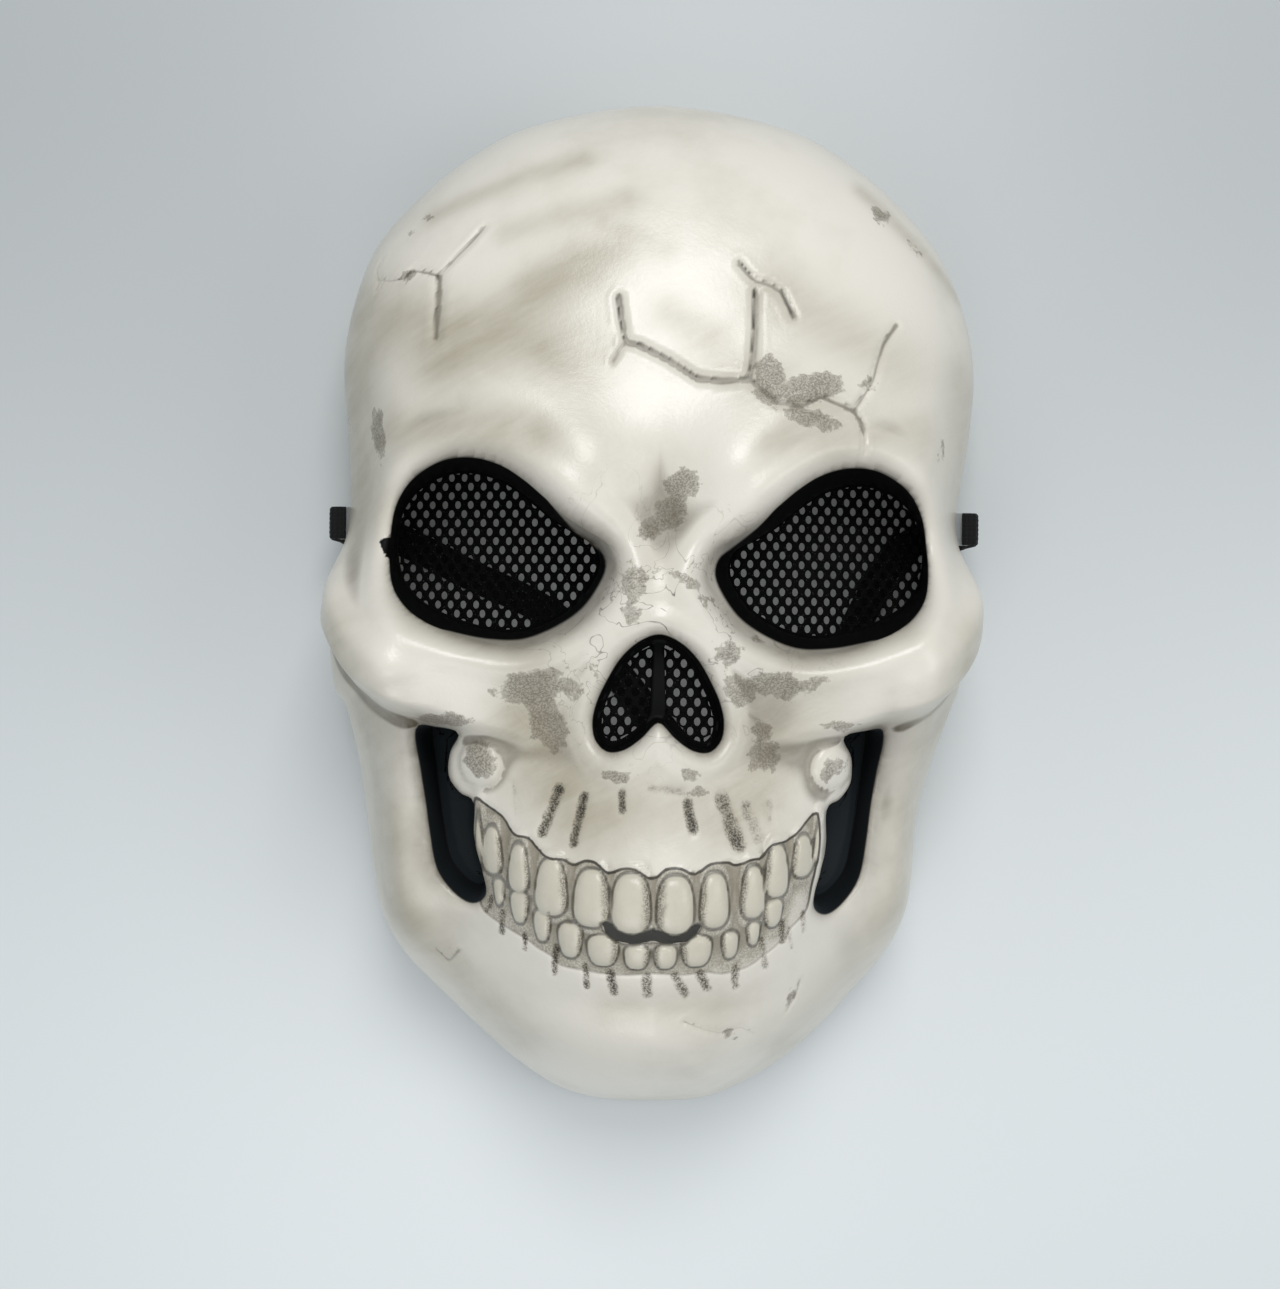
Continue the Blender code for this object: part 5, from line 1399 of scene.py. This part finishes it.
def wall_place(side, y, z):
    """How far out from x = 0 the outer surface lies at a place on the temple's steep wall."""
    out = np.linspace(0.80, 1.06, 400) * HALF_WIDTH
    height = face_height(np.column_stack([side * out, np.full_like(out, y)]))
    return np.interp(-z, -height, out)


def tab_places():
    """Where a tab's head stands, where it leaves the shell and where it ends, all out from x = 0."""
    across = np.linspace(-0.5, 0.5, 5) * TAB_HEAD_WIDTH + TAB_Y
    wall = np.array([[wall_place(side, y, TAB_Z) for y in across] for side in (-1, 1)])
    head = wall.min() - 1.1 * SHELL_WALL - FITTING_GAP
    return head, wall[:, 2].mean(), wall[:, 2].mean() + TAB_OUTSIDE


def hole_sheet(outline, top, thickness, pitch, row, hole, corners, band):
    """A sheet full of oval holes in staggered rows, kept clear of a plain band along its outline.

    Each cell is a six-sided tile round one hole. The tiles whose middle lies inside the band's inner
    edge are kept; the band, a ring along the outline made by band_ring, laps over their ragged border.
    """
    low, high = outline.min(0), outline.max(0)
    across = np.arange(low[0], high[0], pitch)
    along = np.arange(low[1], high[1], row)
    x, y = np.meshgrid(across, along)
    x = x + (np.arange(len(along)) % 2)[:, None] * pitch / 2
    centres = np.column_stack([x.ravel(), y.ravel()])
    centres = centres[outline_distance(centres, outline)[0] < -band]
    turn = np.arange(corners) * 2 * np.pi / corners
    round_line = np.column_stack([np.cos(turn), np.sin(turn)])
    reach = pitch / 2 / np.cos((turn + np.pi / 6) % (np.pi / 3) - np.pi / 6)
    outer = round_line * reach[:, None] * np.array([1, row / (pitch * np.sqrt(3) / 2)])
    inner = round_line * np.array(hole) / 2
    soft = inner + (outer - inner) * 0.28
    levels = [(inner, 0.72), (soft, 1.0), (outer, 0.93), (outer, 0.07), (soft, 0.0), (inner, 0.28)]
    rings = []
    for shape, level in levels:
        flat = centres[:, None, :] + shape[None]
        height = top(flat.reshape(-1, 2)).reshape(flat.shape[:2]) - thickness * (1 - level)
        rings.append(np.concatenate([flat, height[..., None]], 2))
    verts = np.stack(rings, 1).reshape(-1, 3)
    cell = np.arange(len(centres))[:, None] * (len(levels) * corners)
    spoke = np.arange(corners)
    after = np.roll(spoke, -1)
    faces = []
    for first in (0, 1, 3, 4, 5):
        second = (first + 1) % len(levels)
        quad = np.stack([spoke + first * corners, spoke + second * corners,
                         after + second * corners, after + first * corners], -1)
        faces.append((cell[:, :, None] + quad[None]).reshape(-1, 4))
    return verts, np.vstack(faces)


def band_ring(outline, inner, top, thickness, start):
    """A flat ring between an outline and an inner line, closed on all its sides."""
    count = len(outline)
    rings = []
    for line, level in ((outline, 1.0), (inner, 1.0), (inner, 0.0), (outline, 0.0)):
        rings.append(np.column_stack([line, top(line) - thickness * (1 - level)]))
    spoke = np.arange(count)
    after = np.roll(spoke, -1)
    faces = []
    for first in range(4):
        second = (first + 1) % 4
        faces.append(np.column_stack([spoke + first * count, after + first * count,
                                      after + second * count, spoke + second * count]) + start)
    faces = np.vstack(faces)
    if turn_of(outline) > 0:
        faces = faces[:, ::-1]
    return np.vstack(rings), faces


def mesh_finish(settings):
    """Black knitted spacer mesh: a fine loop pattern, with painted pale specks for light through its knit.
    """
    finish = Finish("black_mesh")
    knit = finish.node("ShaderNodeTexVoronoi", {"feature": "F1"}, Vector=finish.place, Scale=1500.0)
    loops = knit["Distance"].step(0.12, 0.5)
    fluff = finish.noise(900.0, 3.0, 0.6)
    base = tuple(settings.colour)
    # Painted light: pale specks for the shaded floor seen through the knit's finest holes, which are not
    # modelled
    see_through_specks = ((1 - knit["Distance"].step(0.10, 0.30)) * fluff.step(0.46, 0.60)).clamp()
    finish.feed("Base Color", finish.mix(see_through_specks * 0.5, base, linear(92, 96, 90)))
    finish.feed("Roughness", 0.68 + 0.2 * fluff)
    finish.feed("Specular IOR Level", 0.1)
    finish.bump((1 - loops) * 0.8 + fluff * 0.3, 0.00025, 0.9)
    return finish.material


class MASK_OT_meshes(bpy.types.Operator):
    """Build the black mesh panels behind the eyes and the nose"""

    bl_idname = "mask.build_meshes"
    bl_label = "Mesh panels"

    def execute(self, context):
        settings = context.scene.mask_meshes
        material = mesh_finish(settings)
        drop = (SHELL_WALL + FITTING_GAP) * np.hypot(1, EYE_FLOOR_TILT)
        panels = []
        for side, name in ((-1, "eye_mesh_left"), (1, "eye_mesh_right")):
            outline = shrunk(eye_hole(side), -PANEL_MARGIN)
            panels.append((name, outline, lambda spot: eye_floor(spot) - drop))
        outline = shrunk(nose_outline(), NOSE_WALL_INSET + NOSE_FLANGE - PANEL_MARGIN * 0.6)
        panels.append(("nose_mesh", outline, lambda spot: nose_floor(spot) - SHELL_WALL - FITTING_GAP))
        for name, outline, top in panels:
            outline = shrunk(outline, PANEL_TRIM)
            verts, faces = hole_sheet(outline, top, PANEL_THICKNESS, settings.pitch / MM, settings.row / MM,
                                      [size / MM for size in settings.hole], settings.corners,
                                      PANEL_BAND)
            inner = shrunk(outline, PANEL_BAND_REACH)
            band, ring = band_ring(outline, inner, top, PANEL_THICKNESS, len(verts))
            mesh = mesh_from(name + "_holes", np.vstack([verts, band]), np.vstack([faces, ring]))
            add_piece(name + "_holes", mesh, material, [name])
        return {"FINISHED"}


def strap_route(stations):
    """Centre line of the strap: over one tab, down outside, under the rim, across, and up again."""
    floor = STRAP_FLOOR_GAP + STRAP_THICKNESS / 2
    lifted = TAB_Z + TAB_THICKNESS / 2 + FITTING_GAP + STRAP_THICKNESS / 2
    ends = []
    _, wall, end = tab_places()
    turn = STRAP_TURN
    for side in (-1, 1):
        outs = [end - STRAP_OVERLAP, end - STRAP_OVERLAP / 2, end, end + turn * 0.8, end + turn,
                end + turn, end + turn, end + turn * 0.7, end - turn * 0.4, end - 2 * turn, wall - turn]
        ups = [lifted, lifted, lifted, lifted - turn * 0.35, lifted - turn * 1.2,
               (lifted + floor) / 2, floor + turn * 1.4, floor + turn * 0.35, floor, floor, floor]
        ends.append(np.column_stack([side * np.array(outs), np.full(len(outs), TAB_Y), ups]))
    middle = np.array(STRAP_ROWS) * np.array([HALF_WIDTH, HALF_LENGTH])
    middle = np.column_stack([middle, np.full(len(middle), floor)])
    points = np.vstack([ends[0], middle, ends[1][::-1]])
    along = np.concatenate([[0], np.cumsum(np.linalg.norm(np.diff(points, axis=0), axis=1))])
    places = np.linspace(0, along[-1], stations)
    dense = np.column_stack([smooth_table(places, along, points[:, axis]) for axis in range(3)])
    return dense, places


def webbing_mesh(name, centre, places, width, thickness):
    """Flat elastic: a section with thin rounded edges carried along the route, its width kept level.

    The section's thickness waves a little across, as the rubber threads in the weave do, and its UV
    map runs in millimetres along and across the strap.
    """
    heading = np.gradient(centre, axis=0)
    heading /= np.linalg.norm(heading, axis=1)[:, None]
    level = np.column_stack([-heading[:, 1], np.abs(heading[:, 0]) + 0.02, np.zeros(len(heading))])
    level /= np.linalg.norm(level, axis=1)[:, None]
    thick = np.cross(heading, level)
    thick /= np.linalg.norm(thick, axis=1)[:, None]
    across = np.linspace(-1, 1, STRAP_COLUMNS)
    half = np.sqrt(np.clip(1 - across**8, 0, 1)) * (0.90 + 0.10 * np.cos(across * 7 * np.pi))
    shape = np.concatenate([np.column_stack([across, half]), np.column_stack([across, -half])[-2:0:-1]])
    size = np.array([width / 2, thickness / 2])
    shape = shape * size
    rings = (centre[:, None, :] + level[:, None, :] * shape[None, :, :1]
             + thick[:, None, :] * shape[None, :, 1:])
    rows, columns = rings.shape[:2]
    index = np.arange(rows * columns).reshape(rows, columns)
    after = np.roll(index, -1, 1)
    sides = np.stack([index[:-1], index[1:], after[1:], after[:-1]], -1).reshape(-1, 4)
    caps = []
    half_count = columns // 2
    for row, turned in ((0, False), (rows - 1, True)):
        ring = index[row]
        upper, lower = ring[:half_count + 1], np.concatenate([[ring[0]], ring[:half_count - 1:-1]])
        quad = np.column_stack([upper[:-1], upper[1:], lower[1:], lower[:-1]])
        caps.append(quad[:, ::-1] if turned else quad)
    mesh = mesh_from(name, rings.reshape(-1, 3), np.vstack([sides] + caps))
    layer = mesh.uv_layers.new(name="UVMap")
    corner = np.empty(len(mesh.loops), int)
    mesh.loops.foreach_get("vertex_index", corner)
    uv = np.column_stack([places[corner // columns], shape[corner % columns, 0]])
    layer.data.foreach_set("uv", uv.astype(np.float32).ravel())
    return mesh


def strap_finish(settings):
    """Black woven elastic: ribs across the strap in rows of fine stitches."""
    finish = Finish("black_elastic")
    place = finish.node("ShaderNodeUVMap", {"uv_map": "UVMap"})["UV"]
    parts = finish.node("ShaderNodeSeparateXYZ", Vector=place)
    ribs = (parts["X"] * 5.2).math("SINE") * 0.5 + 0.5
    rows = (parts["Y"] * 7.0).math("SINE") * 0.5 + 0.5
    stagger = (parts["X"] * 5.2 + parts["Y"] * 3.5).math("SINE") * 0.5 + 0.5
    fluff = finish.noise(1200.0, 3.0, 0.6)
    weave = ribs * 0.5 + rows * stagger * 0.5
    base = tuple(settings.colour)
    finish.feed("Base Color", finish.mix((weave * 0.7 + fluff * 0.3).clamp(),
                                         tuple(channel * 0.4 for channel in base),
                                         tuple(channel * 2.2 for channel in base)))
    finish.feed("Roughness", 0.72 + 0.18 * fluff)
    finish.feed("Specular IOR Level", 0.25)
    finish.feed("Sheen Weight", 0.06)
    finish.bump(weave + fluff * 0.35, 0.0003, 0.9)
    return finish.material


def tab_finish(settings):
    """Cloudy clear plastic."""
    finish = Finish("clear_tab")
    haze = finish.noise(300.0, 3.0, 0.5)
    colour = tuple(settings.tab)
    finish.feed("Base Color", finish.mix(haze, colour, tuple(channel * 0.85 for channel in colour)))
    finish.feed("Roughness", 0.22 + 0.2 * haze)
    finish.feed("Transmission Weight", 0.75)
    finish.feed("IOR", 1.49)
    return finish.material


def rounded_outline(points, radius, steps):
    """A closed outline of straight sides whose corners are rounded by short quadratic curves."""
    points = np.asarray(points, float)
    before, after = np.roll(points, 1, 0) - points, np.roll(points, -1, 0) - points
    cut_before = before / np.linalg.norm(before, axis=1)[:, None] * radius
    cut_after = after / np.linalg.norm(after, axis=1)[:, None] * radius
    t = np.linspace(0, 1, steps)[None, :, None]
    start, end = (points + cut_before)[:, None], (points + cut_after)[:, None]
    return ((1 - t) ** 2 * start + 2 * t * (1 - t) * points[:, None] + t**2 * end).reshape(-1, 2)


def plate_mesh(name, outline, top, thickness, edge):
    """A plate with rounded edges: rings that step in at the top and the bottom, and one face over each end.
    """
    count = len(outline)
    rings = []
    for inset, level in ((edge, 0.0), (edge * 0.3, edge * 0.3), (0.0, edge), (0.0, thickness - edge),
                         (edge * 0.3, thickness - edge * 0.3), (edge, thickness)):
        line = shrunk(outline, inset)
        rings.append(np.column_stack([line, np.full(count, top - thickness + level)]))
    spoke = np.arange(count)
    after = np.roll(spoke, -1)
    faces = []
    for first in range(len(rings) - 1):
        quad = np.column_stack([spoke, after, after + count, spoke + count]) + first * count
        faces += quad.tolist()
    last = (len(rings) - 1) * count
    faces += [(spoke[::-1]).tolist(), (spoke + last).tolist()]
    if turn_of(outline) < 0:
        faces = [face[::-1] for face in faces]
    mesh = bpy.data.meshes.new(name)
    mesh.from_pydata((np.vstack(rings) * MM).tolist(), [], faces)
    mesh.validate()
    return mesh


class MASK_OT_strap(bpy.types.Operator):
    """Build the elastic strap and the clear tabs that hold it"""

    bl_idname = "mask.build_strap"
    bl_label = "Strap and tabs"

    def execute(self, context):
        settings = context.scene.mask_strap
        centre, places = strap_route(STRAP_STATIONS)
        mesh = webbing_mesh("elastic_strap", centre, places, settings.width / MM,
                            settings.thickness / MM)
        add_piece("elastic_strap", mesh, strap_finish(settings), ["head_strap"])
        head, _, end = tab_places()
        stem, wide, back = TAB_WIDTH / 2, TAB_HEAD_WIDTH / 2, head - TAB_HEAD_LENGTH
        material = tab_finish(settings)
        for side, name in ((-1, "strap_tab_left"), (1, "strap_tab_right")):
            outline = np.array([(back, -wide), (head, -wide), (head, -stem), (end, -stem),
                                (end, stem), (head, stem), (head, wide), (back, wide)])
            outline = rounded_outline(outline, TAB_CORNER, 5) * np.array([side, 1]) + np.array([0, TAB_Y])
            mesh = plate_mesh(name + "_clear", outline, TAB_Z + TAB_THICKNESS / 2,
                              TAB_THICKNESS, TAB_EDGE)
            add_piece(name + "_clear", mesh, material, [name])
        return {"FINISHED"}


class MASK_OT_stage(bpy.types.Operator):
    """Set up the floor, the soft lights and the camera"""

    bl_idname = "mask.build_stage"
    bl_label = "Stage"

    def execute(self, context):
        settings = context.scene.mask_stage
        span = np.linspace(-FLOOR_REACH / MM, FLOOR_REACH / MM, 21)
        x, y = np.meshgrid(span, span)
        index = np.arange(x.size).reshape(x.shape)
        quads = np.stack([index[:-1, :-1], index[:-1, 1:], index[1:, 1:], index[1:, :-1]], -1)
        mesh = mesh_from("floor", np.column_stack([x.ravel(), y.ravel(), np.zeros(x.size)]),
                         quads.reshape(-1, 4))
        finish = Finish("stage_floor")
        up = finish.node("ShaderNodeSeparateXYZ", Vector=finish.place)["Y"]
        near, shaded_far_floor = tuple(settings.floor), tuple(settings.shaded_far_floor)
        # Painted shade: the floor darkens from below the chin to beyond the crown
        finish.feed("Base Color", finish.mix(up.step(*FLOOR_FADE), near, shaded_far_floor))
        finish.feed("Roughness", 0.38)
        mesh.materials.append(finish.material)
        floor = bpy.data.objects.new("floor", mesh)
        context.scene.collection.objects.link(floor)
        world = bpy.data.worlds.new("studio")
        world.use_nodes = True
        background = world.node_tree.nodes["Background"]
        background.inputs["Color"].default_value = (*linear(*SKY_COLOUR), 1.0)
        background.inputs["Strength"].default_value = SKY_STRENGTH
        context.scene.world = world
        context.scene.view_settings.view_transform = "Standard"
        for name, place, size, power in LIGHTS:
            lamp = bpy.data.lights.new(name, "AREA")
            lamp.energy = settings.light * power
            lamp.size = size
            light = bpy.data.objects.new(name, lamp)
            light.location = place
            aim = Vector((0, 0, -1)) if name == "hidden_fill" else -Vector(place)
            light.rotation_euler = aim.to_track_quat("-Z", "Y").to_euler()
            light.visible_camera = name != "hidden_fill"
            context.scene.collection.objects.link(light)
        add_camera(settings.height)
        return {"FINISHED"}


def add_camera(height):
    """The photograph's view: nearly straight down at the face, turned and leaned by half a degree."""
    lean, roll = np.radians(CAMERA_LEAN), np.radians(CAMERA_ROLL)
    ahead = Vector((np.sin(lean), 0, -np.cos(lean)))
    right = ahead.cross(Vector((0, 1, 0))).normalized()
    up = right.cross(ahead)
    across = right * np.cos(roll) + up * np.sin(roll)
    upward = -right * np.sin(roll) + up * np.cos(roll)
    place = Matrix((across, upward, -ahead)).transposed().to_4x4()
    place.translation = Vector((*CAMERA_PLACE, height))
    lens = bpy.data.cameras.new("camera")
    lens.sensor_fit = "VERTICAL"
    lens.sensor_height = SENSOR_HEIGHT
    lens.lens = SENSOR_HEIGHT * FOCAL_LENGTH_PIXELS / PICTURE_HEIGHT_PIXELS
    lens.clip_start = 0.01
    camera = bpy.data.objects.new("camera", lens)
    camera.matrix_world = place
    bpy.context.scene.collection.objects.link(camera)
    bpy.context.scene.camera = camera


class MASK_PT_panel(bpy.types.Panel):
    """Buttons and settings of the mask"""

    bl_idname = "MASK_PT_panel"
    bl_label = "Skull Mask"
    bl_space_type = "VIEW_3D"
    bl_region_type = "UI"
    bl_category = "Mask"

    def draw(self, context):
        scene = context.scene
        for group, operator in ((scene.mask_shell, MASK_OT_shell), (scene.mask_meshes, MASK_OT_meshes),
                                (scene.mask_strap, MASK_OT_strap), (scene.mask_stage, MASK_OT_stage)):
            box = self.layout.box()
            box.operator(operator.bl_idname)
            for name in group.__annotations__:
                box.prop(group, name)


GROUPS = {"mask_shell": ShellSettings, "mask_meshes": MeshSettings, "mask_strap": StrapSettings,
          "mask_stage": StageSettings}
CLASSES = (*GROUPS.values(), MASK_OT_shell, MASK_OT_meshes, MASK_OT_strap, MASK_OT_stage, MASK_PT_panel)


def register():
    """Add the classes and their settings to Blender."""
    for item in CLASSES:
        bpy.utils.register_class(item)
    for name, group in GROUPS.items():
        setattr(bpy.types.Scene, name, PointerProperty(type=group))


def unregister():
    """Take the settings and the classes out again."""
    for name in GROUPS:
        delattr(bpy.types.Scene, name)
    for item in reversed(CLASSES):
        bpy.utils.unregister_class(item)


def main():
    """Build the stage and every piece."""
    register()
    bpy.ops.mask.build_stage()
    bpy.ops.mask.build_shell()
    bpy.ops.mask.build_meshes()
    bpy.ops.mask.build_strap()


if __name__ == "__main__":
    main()
